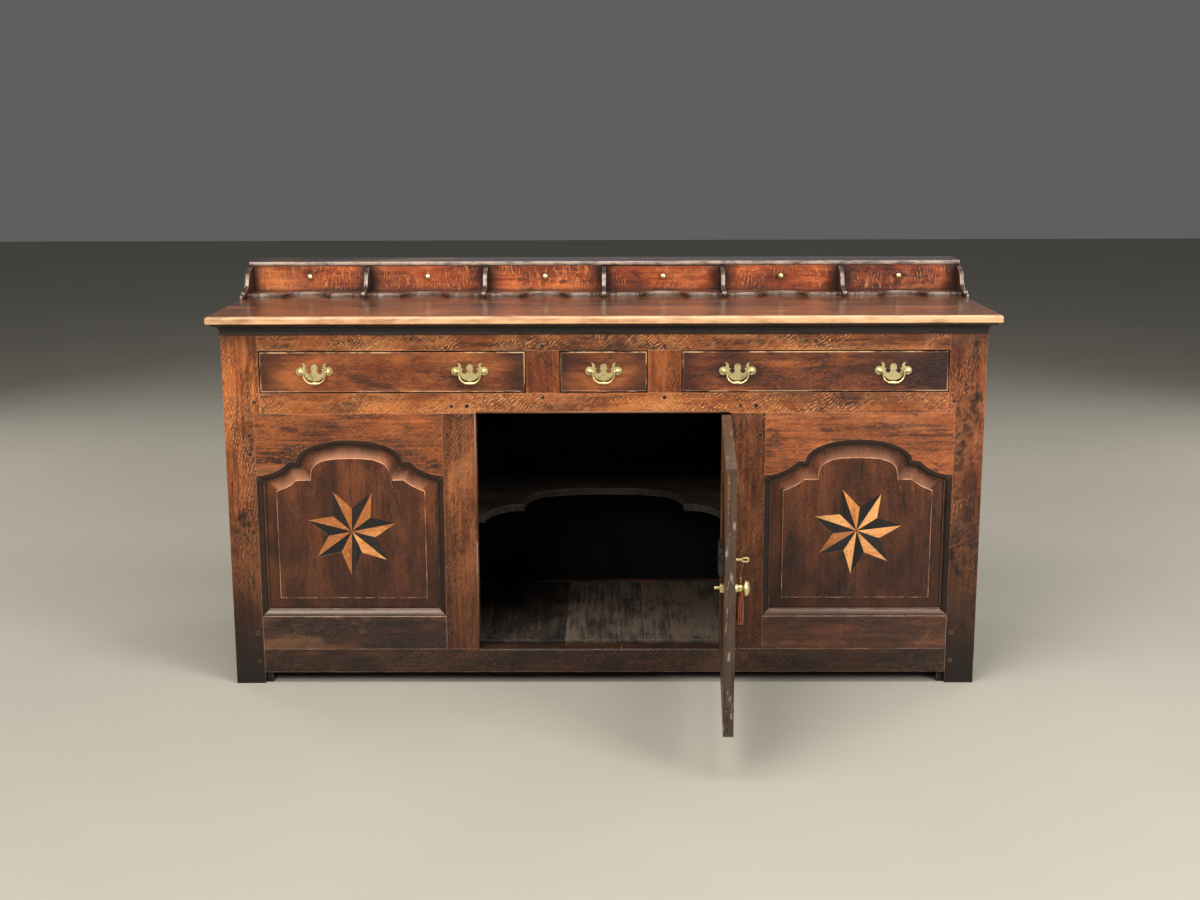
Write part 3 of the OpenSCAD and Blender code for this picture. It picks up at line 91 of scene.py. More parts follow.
# Small wrapper that keeps the node code short
class Graph:
    def __init__(self, name):
        self.material = bpy.data.materials.new(name)
        self.material.use_nodes = True
        self.tree = self.material.node_tree
        self.tree.nodes.clear()

    def node(self, kind, inputs=None, **props):
        node = self.tree.nodes.new(kind)
        for key, value in props.items():
            setattr(node, key, value)
        for key, value in (inputs or {}).items():
            if isinstance(value, bpy.types.NodeSocket):
                self.tree.links.new(value, node.inputs[key])
            else:
                node.inputs[key].default_value = value
        return node

    def math(self, op, a, b=0.0, clamp=False):
        return self.node("ShaderNodeMath", {0: a, 1: b}, operation=op, use_clamp=clamp).outputs[0]

    def vec(self, op, a, b):
        return self.node("ShaderNodeVectorMath", {0: a, 1: b}, operation=op).outputs["Vector"]

    def dot(self, a, b):
        return self.node("ShaderNodeVectorMath", {0: a, 1: b}, operation="DOT_PRODUCT").outputs["Value"]

    def split(self, a):
        return self.node("ShaderNodeSeparateXYZ", {0: a}).outputs

    def attribute(self, name, out):
        return self.node("ShaderNodeAttribute", attribute_name=name).outputs[out]

    def object_axis(self, axis):
        return self.split(self.node("ShaderNodeTexCoord").outputs["Object"])[axis]

    def normal_axis(self, axis):
        return self.split(self.node("ShaderNodeNewGeometry").outputs["Normal"])[axis]

    def hollow(self, reach):
        return self.node("ShaderNodeAmbientOcclusion", {"Distance": reach}, samples=6).outputs["AO"]

    def noise(self, at, detail=2.0, rough=0.55, distort=0.0, out="Fac"):
        settings = {"Vector": at, "Scale": 1.0, "Detail": detail, "Roughness": rough,
                    "Distortion": distort}
        return self.node("ShaderNodeTexNoise", settings).outputs[out]

    def step(self, value, low, high, to_low=0.0, to_high=1.0):
        settings = {0: value, 1: low, 2: high, 3: to_low, 4: to_high}
        return self.node("ShaderNodeMapRange", settings, interpolation_type="SMOOTHSTEP").outputs[0]

    def mix(self, a, b, share, blend="MIX"):
        node = self.node("ShaderNodeMix", {0: share}, data_type="RGBA", blend_type=blend)
        for index, value in ((6, a), (7, b)):
            if isinstance(value, bpy.types.NodeSocket):
                self.tree.links.new(value, node.inputs[index])
            else:
                node.inputs[index].default_value = (*value, 1)
        return node.outputs[2]

    def finish(self, colour, roughness, height, distance, **constants):
        bump = self.node("ShaderNodeBump", {"Height": height, "Strength": 0.6, "Distance": distance})
        shader = self.node("ShaderNodeBsdfPrincipled", {"Base Color": colour, "Roughness": roughness})
        self.tree.links.new(bump.outputs[0], shader.inputs["Normal"])
        for key, value in constants.items():
            shader.inputs[key.replace("_", " ")].default_value = value
        out = self.node("ShaderNodeOutputMaterial")
        self.tree.links.new(shader.outputs[0], out.inputs[0])
        return self.material


def srgb(red, green, blue):
    """A colour given as 0 to 255 on the screen, in linear light."""
    shares = (red / 255, green / 255, blue / 255)
    return tuple(((c + 0.055) / 1.055) ** 2.4 if c > 0.04 else c / 12.92 for c in shares)


# Quarter-sawn oak. Each board carries its own coordinates: along the grain, across it and through it.
WOOD = {
    # colours; the near-black one marks stains, joints and dirt and also paints shade, the pale one marks
    # wear and also paints highlights
    "dark": srgb(52, 26, 14), "mid": srgb(128, 70, 36), "light": srgb(176, 106, 58),
    "fleck": srgb(214, 150, 96), "grime_and_shade": srgb(20, 13, 10), "worn": srgb(206, 152, 104),
    "edge": None, "behind": None,
    # shares of each layer
    "flecks": 0.5, "wear": 0.55, "dirt": 0.9, "low": 0.55, "blotches": 0.45, "streaks": 0.5,
    "spread": 0.25, "grit": 0.5, "clouds": 0.45, "lip": 0.0, "seam": 0.0, "mould": 0.0, "nose": 0.0,
    "fade": 0.0, "front": 0.0,
    # how far the dark ends reach, and their share
    "ends": (0.0, 0.0),
    # scale of the rays, and their turn from the grain
    "hairs": 44, "fleck_turn": 0.9,
    # height that the dark foot reaches, and depth of the grain
    "dusk": 0.58, "relief": 0.0012,
    # bends at which an arris starts to be rubbed and is rubbed fully
    "bend": (0.01, 0.12),
    # whether a panel's field is left unrubbed inside its arrises
    "field": False,
    # shine
    "rough": 0.42, "coat": 0.12, "shine": 0.35,
}
COAT_ROUGH = 0.22
HOLLOW_REACH = 0.014
ARRIS_R = 0.0022
FLAKE = srgb(168, 156, 140)

# Waves per metre of each noise: along the grain, across it and through the board
WAVES = {
    "sway": (3, 9, 9), "streak": (6, 120, 120), "fine": (30, 800, 800), "mottle": (6, 13, 13),
    "grit": (120, 330, 330), "cloud": (4, 11, 11), "patch": (9, 17, 17), "breaks": (60, 150, 90),
    "pores": (90, 900, 900), "stain": (16, 30, 30), "front": (22, 60, 60), "arris": (26, 60, 60),
    "lip": (14, 9, 9), "nose": (9, 40, 40), "flake": (20, 90, 90),
}
TONE_SHIFT = (31, 57, 17)  # moves each board to its own part of the noises
GRAIN_SWAY = 0.02

# The field of a panel about its middle: half width, foot, head at the middle, and the head's fall
FIELD_HALF, FIELD_FOOT = 0.164, 0.160
FIELD_HEAD, HEAD_FALL = 0.124, 0.306


class Board:
    """What the layers of one wood share: the board's coordinates, its noises and its look."""

    def __init__(self, graph, look):
        g = self.graph = graph
        self.look = look
        self.place = g.attribute("place", "Vector")
        tone = g.attribute("tone", "Fac")
        tones = g.node("ShaderNodeCombineXYZ", {0: tone, 1: tone, 2: tone}).outputs[0]
        self.at = g.vec("ADD", self.place, g.vec("MULTIPLY", tones, TONE_SHIFT))
        sway = g.vec("SUBTRACT", self.noise("sway", detail=1, out="Color"), (0.5, 0.5, 0.5))
        self.grain = g.vec("ADD", self.at, g.vec("MULTIPLY", sway, (0, GRAIN_SWAY, GRAIN_SWAY)))
        self.streak = self.noise("streak", self.grain, detail=4, rough=0.6)
        self.mottle = self.noise("mottle", detail=3, rough=0.6)
        self.pores = g.step(self.noise("pores", self.grain, detail=1), 0.55, 0.68)
        streaked = g.math("MULTIPLY", self.streak, look["streaks"])
        mottled = g.math("MULTIPLY", self.mottle, 1 - look["streaks"])
        own = g.math("MULTIPLY", g.math("SUBTRACT", tone, 0.5), look["spread"])
        self.share = g.math("ADD", g.math("ADD", streaked, mottled), own)
        self.hollow = g.hollow(HOLLOW_REACH)
        # Share of painted shade in the hollows and corners, from the ambient occlusion; it also roughens
        # the finish there
        self.grime_and_shade = g.math("MULTIPLY", g.step(self.hollow, 0.25, 0.95, 1.0, 0.0), look["dirt"])

    def edge(self):
        """How far a place is from its board's end, from its side and from its face."""
        g = self.graph
        reach = g.vec("ABSOLUTE", self.place, (0, 0, 0))
        return g.split(g.vec("SUBTRACT", g.attribute("half", "Vector"), reach))

    def noise(self, name, at=None, **settings):
        """A noise with the waves that WAVES names, along the board or at a place of its own."""
        start = self.at if at is None else at
        return self.graph.noise(self.graph.vec("MULTIPLY", start, WAVES[name]), **settings)


def figure(b):
    """The oak's own tones, from dark to light, with a fine grit in them."""
    g, look = b.graph, b.look
    deep = g.mix(look["dark"], look["mid"], g.step(b.share, 0.36, 0.50))
    colour = g.mix(deep, look["light"], g.step(b.share, 0.50, 0.64))
    grit = b.noise("grit", detail=3, rough=0.7)
    colour = g.mix(colour, look["dark"], g.step(grit, 0.52, 0.66, 0.0, look["grit"]))
    return g.mix(colour, look["light"], g.step(grit, 0.34, 0.48, look["grit"], 0.0))


def clouds(b, colour):
    """Large dark and pale clouds in the old polish."""
    g, look = b.graph, b.look
    cloud = b.noise("cloud", detail=4, rough=0.62, distort=0.6)
    colour = g.mix(colour, look["dark"], g.step(cloud, 0.50, 0.64, 0.0, look["clouds"]))
    return g.mix(colour, look["fleck"], g.step(cloud, 0.34, 0.48, 0.4 * look["clouds"], 0.0))


def rays(b, colour):
    """Pale rays across the grain, in patches."""
    g, look = b.graph, b.look
    share = 0.0
    for turn, pitch, seed in ((look["fleck_turn"], 1.0, 3.1), (-0.7 * look["fleck_turn"], 1.7, 7.7)):
        turned = g.node("ShaderNodeMapping", {"Vector": b.at, "Rotation": (0, 0, turn)}).outputs[0]
        settings = {"Vector": turned, "Scale": look["hairs"] * pitch, "Distortion": 13.0, "Detail": 2.5,
                    "Detail Scale": 0.45, "Detail Roughness": 0.6}
        hairs = g.node("ShaderNodeTexWave", settings).outputs["Fac"]
        patch = g.noise(g.vec("ADD", g.vec("MULTIPLY", b.at, WAVES["patch"]), (seed, seed, seed)))
        breaks = g.step(b.noise("breaks", turned), 0.40, 0.60)
        line = g.math("MULTIPLY", g.step(hairs, 0.72, 1.0), g.step(patch, 0.42, 0.60))
        share = g.math("MAXIMUM", share, g.math("MULTIPLY", line, breaks))
    return g.mix(colour, look["fleck"], g.math("MULTIPLY", share, look["flecks"], clamp=True))


def stains(b, colour):
    """Pores, ink stains and small knocks."""
    g, look = b.graph, b.look
    colour = g.mix(colour, look["dark"], g.math("MULTIPLY", b.pores, 0.6))
    stain = g.step(b.noise("stain", detail=3, rough=0.65), 0.58, 0.70)
    return g.mix(colour, look["grime_and_shade"], g.math("MULTIPLY", stain, look["blotches"]))


def dark_ends(b, colour):
    """A board's ends, darker with a ragged edge."""
    g = b.graph
    reach, share = b.look["ends"]
    ragged = g.math("ADD", b.edge()[0], g.math("MULTIPLY", g.math("SUBTRACT", b.mottle, 0.5), reach))
    return g.mix(colour, b.look["dark"], g.step(ragged, 0.0, reach, share, 0.0))


def glued_joint(b, colour):
    """The fine crack where a panel's two boards meet."""
    g, look = b.graph, b.look
    across = g.math("ABSOLUTE", g.split(b.place)[1])
    return g.mix(colour, look["grime_and_shade"], g.step(across, 0.0002, 0.0011, look["seam"], 0.0))


def dark_foot(b, colour):
    """Darker towards the floor: painted shade, with some dirt."""
    g, look = b.graph, b.look
    return g.mix(colour, look["grime_and_shade"], g.step(g.object_axis(Z), 0.03, look["dusk"], look["low"], 0.0))


def faded_tops(b, colour):
    """Faces that look up are painted paler as a painted highlight, most on the left."""
    g, look = b.graph, b.look
    aside = g.step(g.object_axis(X), -0.4, 0.4, 1.0, 0.5)
    pale = g.math("MULTIPLY", g.step(g.normal_axis(Z), 0.04, 0.40, 0.0, look["fade"]), aside)
    return g.mix(colour, look["worn"], pale)


def worn_and_lit_fronts(b, colour):
    """Faces that look forward are painted paler in places: partly wear, partly a painted highlight."""
    g, look = b.graph, b.look
    rubbed = g.step(b.noise("front", detail=4, rough=0.7), 0.34, 0.60, 0.25, 1.0)
    pale = g.math("MULTIPLY", g.step(g.normal_axis(Y), -0.9, -0.4, look["front"], 0.0), rubbed)
    return g.mix(colour, look["worn"], pale)


# Moulding faces darkened towards near black: partly dirt, partly painted shade in their recess
def dark_mouldings(b, colour):
    g, look = b.graph, b.look
    return g.mix(colour, look["grime_and_shade"], g.math("MULTIPLY", g.attribute("mould", "Fac"), look["mould"]))


def bare_backs(b, colour):
    """Faces that look back are bare oak."""
    g, look = b.graph, b.look
    bare = g.mix(look["worn"], look["behind"], g.step(b.share, 0.36, 0.60))
    return g.mix(colour, bare, g.step(g.normal_axis(Y), 0.3, 0.8))


# Painted shade: darker in the corners and hollows
def shaded_corners(b, colour):
    return b.graph.mix(colour, b.look["grime_and_shade"], b.grime_and_shade)


def off_field(b):
    """0 inside a panel's field, where only the flush star lies, and 1 from its arrises outwards."""
    g = b.graph
    along, out = g.split(b.place)[0], g.math("ABSOLUTE", g.split(b.place)[1])
    head = g.math("SUBTRACT", FIELD_HEAD, g.math("MULTIPLY", out, HEAD_FALL))
    inner = g.math("MINIMUM", g.math("SUBTRACT", FIELD_HALF, out), g.math("SUBTRACT", head, along))
    inner = g.math("MINIMUM", inner, g.math("ADD", along, FIELD_FOOT))
    return g.step(inner, 0.0, 0.004, 1.0, 0.0)


def worn_and_lit_arrises(b, colour):
    """Wear on the arrises, broken up, and none in the corners; on the panels, low rails and gallery it
    is partly a painted highlight.
    """
    g, look = b.graph, b.look
    rounded = g.node("ShaderNodeBevel", {"Radius": ARRIS_R}, samples=4).outputs[0]
    flat = g.node("ShaderNodeNewGeometry").outputs["Normal"]
    bend = g.math("SUBTRACT", 1.0, g.dot(rounded, flat))
    broken = g.step(b.noise("arris", detail=3), 0.34, 0.62, 0.15, 1.0)
    worn = g.math("MULTIPLY", g.step(bend, *look["bend"]), g.step(b.hollow, 0.55, 0.9))
    worn = g.math("MULTIPLY", g.math("MULTIPLY", worn, broken), look["wear"], clamp=True)
    if look["field"]:
        worn = g.math("MULTIPLY", worn, off_field(b))
    return g.mix(colour, look["worn"], worn)


def drawer_bead(b, colour):
    """The worn bead round a drawer's front."""
    g, look = b.graph, b.look
    edge = b.edge()
    lip = g.step(g.math("MINIMUM", edge[0], edge[1]), 0.0012, 0.0030, look["lip"], 0.0)
    rubbed = g.step(b.noise("lip", detail=4, rough=0.7), 0.43, 0.60)
    return g.mix(colour, look["worn"], g.math("MULTIPLY", lip, rubbed))


def pale_nose(b, colour):
    """The front edge of the worktop painted paler: partly wear, partly a painted highlight."""
    g, look = b.graph, b.look
    rubbed = g.step(b.noise("nose", detail=4, rough=0.7), 0.30, 0.62, 0.35, 1.0)
    near = g.step(g.object_axis(Y), NOSE_Y, NOSE_Y + 0.012, look["nose"], 0.0)
    return g.mix(colour, look["worn"], g.math("MULTIPLY", near, rubbed))


def grey_edges(b, colour):
    """The greyed top and free edge of the open door, with pale flakes."""
    g, look = b.graph, b.look
    free_y = CAD_BOX[0][1]
    free = g.step(g.object_axis(Y), free_y + 0.001, free_y + 0.004, 0.85, 0.0)
    greyed = g.math("MAXIMUM", free, g.step(g.normal_axis(Z), 0.6, 0.9, 0.0, 0.8))
    aged = g.mix(look["dark"], look["edge"], g.step(b.share, 0.36, 0.56))
    flake = g.step(b.noise("flake", detail=4, rough=0.7), 0.60, 0.65, 0.0, 0.6)
    return g.mix(colour, g.mix(aged, FLAKE, flake), greyed)


def wood(name, **changes):
    look = {**WOOD, **changes}
    g = Graph(name)
    b = Board(g, look)
    colour = figure(b)
    layers = (
        (clouds, look["clouds"]), (rays, True), (stains, True), (dark_ends, look["ends"][1]),
        (glued_joint, look["seam"]), (dark_foot, True), (faded_tops, look["fade"]),
        (worn_and_lit_fronts, look["front"]), (dark_mouldings, look["mould"]), (bare_backs, look["behind"]),
        (shaded_corners, True), (worn_and_lit_arrises, True), (drawer_bead, look["lip"]),
        (pale_nose, look["nose"]), (grey_edges, look["edge"]),
    )
    for layer, wanted in layers:
        if wanted:
            colour = layer(b, colour)
    rough = g.math("ADD", g.math("MULTIPLY", b.streak, 0.16), look["rough"] - 0.08)
    rough = g.math("ADD", rough, g.math("MULTIPLY", b.grime_and_shade, 0.2), clamp=True)
    fine = g.math("MULTIPLY", b.noise("fine", b.grain), 0.25)
    height = g.math("ADD", g.math("MULTIPLY", b.streak, 0.5), fine)
    height = g.math("SUBTRACT", height, g.math("MULTIPLY", b.pores, 0.4))
    height = g.math("ADD", height, g.math("MULTIPLY", b.mottle, 0.8))
    return g.finish(colour, rough, height, look["relief"], Coat_Weight=look["coat"],
                    Coat_Roughness=COAT_ROUGH, Specular_IOR_Level=look["shine"])


# Metal with tarnish in its hollows
def metal(name, bright, dull, rough):
    g = Graph(name)
    at = g.node("ShaderNodeTexCoord").outputs["Object"]
    cloud = g.noise(g.vec("MULTIPLY", at, (90, 90, 90)), detail=4, rough=0.6)
    scratch = g.noise(g.vec("MULTIPLY", at, (900, 900, 260)), detail=2)
    colour = g.mix(bright, dull, g.step(cloud, 0.45, 0.72, 0.0, 0.6))
    hollow = g.hollow(0.006)
    colour = g.mix(colour, dull, g.step(hollow, 0.35, 0.9, 0.8, 0.0))
    roughness = g.math("ADD", g.math("MULTIPLY", cloud, 0.25), rough - 0.1)
    height = g.math("ADD", g.math("MULTIPLY", cloud, 0.7), g.math("MULTIPLY", scratch, 0.2))
    return g.finish(colour, roughness, height, 0.0005, Metallic=1.0)


# Twisted silk: fine strands that run down, darker between them
def silk(name, bright, deep):
    g = Graph(name)
    at = g.node("ShaderNodeTexCoord").outputs["Object"]
    strand = g.noise(g.vec("MULTIPLY", at, (2600, 2600, 60)), detail=2)
    colour = g.mix(deep, bright, g.step(strand, 0.35, 0.65))
    # Painted shade between the strands and in the tassel's hollows
    hollow = g.hollow(0.004)
    colour = g.mix(colour, deep, g.step(hollow, 0.2, 0.9, 0.8, 0.0))
    roughness = g.math("ADD", g.math("MULTIPLY", strand, 0.2), 0.45)
    return g.finish(colour, roughness, strand, 0.0004, Sheen_Weight=0.4)


SAME_POINT = 20000  # corners that round to the same place at so many steps a metre are joined


def board_of_face(mesh):
    """Says for each face which of the mesh's separate boards it belongs to."""
    keys = {}
    parent = []
    for vertex in mesh.vertices:
        key = tuple(round(c * SAME_POINT) for c in vertex.co)
        parent.append(keys.setdefault(key, len(keys)))
    lead = list(range(len(keys)))

    def find(a):
        while lead[a] != a:
            lead[a] = lead[lead[a]]
            a = lead[a]
        return a

    for face in mesh.polygons:
        first = find(parent[face.vertices[0]])
        for v in face.vertices[1:]:
            lead[find(parent[v])] = first
    return [find(parent[face.vertices[0]]) for face in mesh.polygons]


# Where the moulding round a panel's opening lies in the framing, as in part.scad: out from the
# panel's middle, up from the floor, and back from the front
MOULDED = {"front_posts", "door_posts", "arched_rails", "lower_rails", "door_frame"}
PANEL_X, DOOR_X = 0.6, 0.0008
MOULD_OUT, SIGHT_OUT = 0.2225, 0.2030
MOULD_LOW, MOULD_HIGH = 0.160, 0.612
PLAIN_LOW, PLAIN_HIGH = 0.187, 0.49
MOULD_FRONT, MOULD_BACK = 0.0095, 0.0205


def is_mould(corners, door):
    """Whether a face belongs to the moulding round a panel's opening."""
    middle = DOOR_X if door else PANEL_X
    for p in corners:
        out = abs((p.x if door else abs(p.x)) - middle)
        if out > MOULD_OUT or not MOULD_LOW < p.z < MOULD_HIGH or p.y > MOULD_BACK:
            return False
        if out < SIGHT_OUT and PLAIN_LOW < p.z < PLAIN_HIGH:
            return False
    return max(p.y for p in corners) > MOULD_FRONT


def mark_boards(node, along):
    """Marks each board's own coordinates on its faces, for the wood to follow."""
    mesh = NODES[node].data
    door = node in DOOR_WOOD
    at = [SHUT @ v.co if door else v.co.copy() for v in mesh.vertices]
    owner = board_of_face(mesh)
    boxes = {}
    for face, board in zip(mesh.polygons, owner):
        low, high = boxes.setdefault(board, ([9.0] * 3, [-9.0] * 3))
        for v in face.vertices:
            for i in range(3):
                low[i] = min(low[i], at[v][i])
                high[i] = max(high[i], at[v][i])
    order = sorted(boxes, key=lambda b: [round(c, 4) for c in boxes[b][0]])
    dice = random.Random(node)
    tones = {board: dice.random() for board in order}
    axes = {}
    for board in order:
        low, high = boxes[board]
        size = [high[i] - low[i] for i in range(3)]
        ranked = sorted(range(3), key=lambda i: -size[i])
        if along is not None:
            ranked.remove(along)
            ranked.insert(0, along)
        axes[board] = ranked
    mould = mesh.attributes.new("mould", "FLOAT", "FACE")
    place = mesh.attributes.new("place", "FLOAT_VECTOR", "CORNER")
    half = mesh.attributes.new("half", "FLOAT_VECTOR", "CORNER")
    tone = mesh.attributes.new("tone", "FLOAT", "FACE")
    for face, board in zip(mesh.polygons, owner):
        low, high = boxes[board]
        middle = [(low[i] + high[i]) / 2 for i in range(3)]
        tone.data[face.index].value = tones[board]
        corners = [at[v] for v in face.vertices]
        mould.data[face.index].value = float(node in MOULDED and is_mould(corners, door))
        for corner in face.loop_indices:
            p = at[mesh.loops[corner].vertex_index]
            here = [p[i] - middle[i] for i in axes[board]]
            place.data[corner].vector = here
            half.data[corner].vector = [(high[i] - low[i]) / 2 for i in axes[board]]


# Eases the arrises of the joinery. The boards of the back are drawn together, so that no light
# shows between them.
WELD, BACK_WELD = 0.00002, 0.00030
FLAT_WITHIN, ARRIS_FROM = math.radians(0.5), math.radians(35)


def ease(node, width):
    thing = NODES[node]
    weld = thing.modifiers.new("weld", "WELD")
    weld.merge_threshold = BACK_WELD if node == "back_boards" else WELD
    plain = thing.modifiers.new("plain", "DECIMATE")
    plain.decimate_type = "DISSOLVE"
    plain.angle_limit = FLAT_WITHIN
    bevel = thing.modifiers.new("arris", "BEVEL")
    bevel.width = width
    bevel.segments = 2
    bevel.limit_method = "ANGLE"
    bevel.angle_limit = ARRIS_FROM
    bevel.use_clamp_overlap = True
    normals = thing.modifiers.new("normals", "WEIGHTED_NORMAL")
    normals.weight = 100
    normals.keep_sharp = False


def paint(node, material):
    thing = NODES[node]
    thing.data.materials.clear()
    thing.data.materials.append(material)


DOOR_WOOD = {"door_frame", "door_panel", "door_star_light", "door_star_dark"}

OAK_FRAME = wood(
    "oak_frame", dark=srgb(38, 19, 10), mid=srgb(99, 51, 24), light=srgb(144, 83, 43),
    fleck=srgb(206, 138, 86), flecks=0.45, blotches=0.6, mould=0.9, spread=0.05, coat=0.04)
OAK_DOOR = wood(
    "oak_door", dark=srgb(36, 19, 11), mid=srgb(92, 50, 26), light=srgb(136, 81, 45),
    edge=srgb(64, 55, 46), flecks=0.4, mould=0.6, coat=0.04)
OAK_POST = wood(
    "oak_post", dark=srgb(38, 17, 9), mid=srgb(114, 54, 22), light=srgb(176, 98, 48),
    fleck=srgb(224, 154, 98), flecks=0.8, fleck_turn=1.25, ends=(0.12, 0.7), blotches=0.9, mould=0.9,
    low=0.97, dusk=0.72, clouds=0.6, coat=0.06)
OAK_RAIL = wood(
    "oak_rail", dark=srgb(52, 24, 11), mid=srgb(133, 68, 26), light=srgb(172, 97, 41),
    fleck=srgb(224, 158, 98), worn=srgb(214, 168, 128), flecks=0.85, clouds=0.55, low=0.85, coat=0.05)
OAK_MUNTIN = wood(
    "oak_muntin", dark=srgb(48, 20, 9), mid=srgb(108, 50, 20), light=srgb(146, 78, 36),
    fleck=srgb(196, 126, 76), flecks=0.35, coat=0.04, spread=0.1)
OAK_ARCH = wood(
    "oak_arch", dark=srgb(52, 27, 14), mid=srgb(136, 70, 31), light=srgb(181, 102, 51),
    fleck=srgb(206, 136, 82), flecks=0.25, low=0.2, mould=0.92, blotches=0.7, spread=0.08, coat=0.05)
# Panels: the up-facing bevels get a painted highlight, and the pale line on the field's arrises is
# partly wear, partly painted highlight
OAK_PANEL = wood(
    "oak_panel", dark=srgb(34, 17, 10), mid=srgb(76, 38, 21), light=srgb(110, 59, 31),
    fleck=srgb(150, 90, 54), worn=srgb(236, 168, 124), flecks=0.06, fleck_turn=0.3, streaks=0.3,
    grit=0.6, clouds=0.5, wear=1.0, bend=(0.002, 0.010), field=True, fade=0.8, dirt=0.55, low=0.68,
    seam=0.8, rough=0.34, coat=0.15)
# Worktop: the pale front edge is partly wear, partly painted highlight
OAK_TOP = wood(
    "oak_top", dark=srgb(50, 25, 11), mid=srgb(96, 49, 20), light=srgb(128, 70, 31),
    worn=srgb(226, 178, 132), flecks=0.08, wear=0.8, nose=0.85, low=0.0, blotches=0.35, grit=0.3,
    rough=0.19, coat=0.1, shine=0.3, relief=0.0004)
OAK_CORNICE = wood(
    "oak_cornice", dark=srgb(8, 6, 5), mid=srgb(18, 13, 10), light=srgb(34, 24, 19),
    flecks=0.0, wear=0.35, low=0.0, clouds=0.0, coat=0.1)
OAK_DRAWER = wood(
    "oak_drawer", dark=srgb(38, 15, 9), mid=srgb(104, 50, 22), light=srgb(156, 86, 40),
    fleck=srgb(192, 116, 58), worn=srgb(222, 178, 124), flecks=0.05, streaks=0.25, clouds=0.75,
    spread=0.06, ends=(0.09, 0.75), lip=0.8, wear=0.35, low=0.0, coat=0.15, rough=0.36)
OAK_SPICE = wood(
    "oak_spice", dark=srgb(38, 13, 7), mid=srgb(134, 56, 23), light=srgb(192, 98, 46),
    fleck=srgb(230, 150, 88), flecks=0.5, hairs=34, fleck_turn=1.2, ends=(0.05, 0.95), streaks=0.4,
    spread=0.1, grit=0.3, blotches=0.7, low=0.0, coat=0.15, rough=0.36)
# Gallery: the pale grey on its front faces and arrises is partly wear, partly painted highlight
OAK_GALLERY = wood(
    "oak_gallery", dark=srgb(26, 14, 11), mid=srgb(56, 30, 21), light=srgb(90, 52, 38),
    worn=srgb(206, 182, 162), flecks=0.05, wear=1.0, front=0.6, low=0.0, coat=0.3, rough=0.32)
# Back and runners inside the cupboard: the near-black colours are painted shade
OAK_INSIDE_SHADE = wood(
    "oak_inside", dark=srgb(4, 3, 3), mid=srgb(10, 8, 7), light=srgb(16, 13, 11),
    worn=srgb(44, 34, 27), behind=srgb(92, 72, 56), flecks=0.0, wear=0.1, clouds=0.0, low=0.0,
    rough=0.8, coat=0.0, shine=0.1)
OAK_BOX = wood(
    "oak_box", dark=srgb(50, 34, 23), mid=srgb(94, 67, 45), light=srgb(128, 95, 67),
    flecks=0.1, wear=0.5, low=0.0, rough=0.6, coat=0.0, shine=0.2)
# Shelf and cupboard floor: the dark colours are painted shade inside the cupboard
OAK_SHELF_SHADE = wood(
    "oak_shelf_shade", dark=srgb(20, 17, 15), mid=srgb(38, 33, 29), light=srgb(62, 53, 46),
    worn=srgb(140, 122, 106), flecks=0.0, wear=0.9, clouds=0.0, low=0.0, rough=0.7, coat=0.0, shine=0.15)
OAK_FLOOR_SHADE = wood(
    "oak_floor_shade", dark=srgb(24, 20, 17), mid=srgb(56, 47, 40), light=srgb(96, 82, 70),
    fleck=srgb(112, 98, 84), worn=srgb(150, 130, 112), flecks=0.0, wear=0.9, low=0.0, rough=0.7,
    coat=0.0, shine=0.15)
OAK_SIDE = wood(
    "oak_side", dark=srgb(34, 18, 11), mid=srgb(84, 46, 27), light=srgb(124, 74, 44), flecks=0.2)
# Low rails: the pale moulding ridges are partly wear, partly painted highlight, and up-facing faces get
# a painted highlight
OAK_LOW = wood(
    "oak_low", dark=srgb(28, 15, 10), mid=srgb(70, 36, 20), light=srgb(106, 58, 32),
    worn=srgb(214, 178, 150), flecks=0.10, wear=1.0, fade=0.4, low=0.25, mould=0.4, coat=0.2, rough=0.36)
BEAD = wood(
    "oak_bead", dark=srgb(96, 58, 40), mid=srgb(150, 102, 72), light=srgb(206, 160, 124),
    flecks=0.0, low=0.5)
OAK_PEG = wood(
    "oak_peg", dark=srgb(20, 12, 9), mid=srgb(42, 24, 16), light=srgb(70, 42, 28),
    flecks=0.0, wear=0.2, low=0.2, clouds=0.0)
LIGHT_INLAY = wood(
    "inlay_light", dark=srgb(160, 92, 42), mid=srgb(208, 134, 68), light=srgb(234, 168, 100),
    flecks=0.15, dirt=0.3, wear=0.0, low=0.15, blotches=0.3, spread=0.5, clouds=0.2)
DARK_INLAY = wood(
    "inlay_dark", dark=srgb(10, 8, 7), mid=srgb(20, 14, 12), light=srgb(38, 28, 22),
    flecks=0.0, dirt=0.3, wear=0.0, low=0.0, clouds=0.0)
BRASS = metal("brass", srgb(244, 226, 164), srgb(104, 84, 44), 0.38)
IRON = metal("iron", srgb(70, 62, 58), srgb(36, 26, 22), 0.55)
SILK = silk("silk", srgb(190, 104, 50), srgb(96, 42, 18))

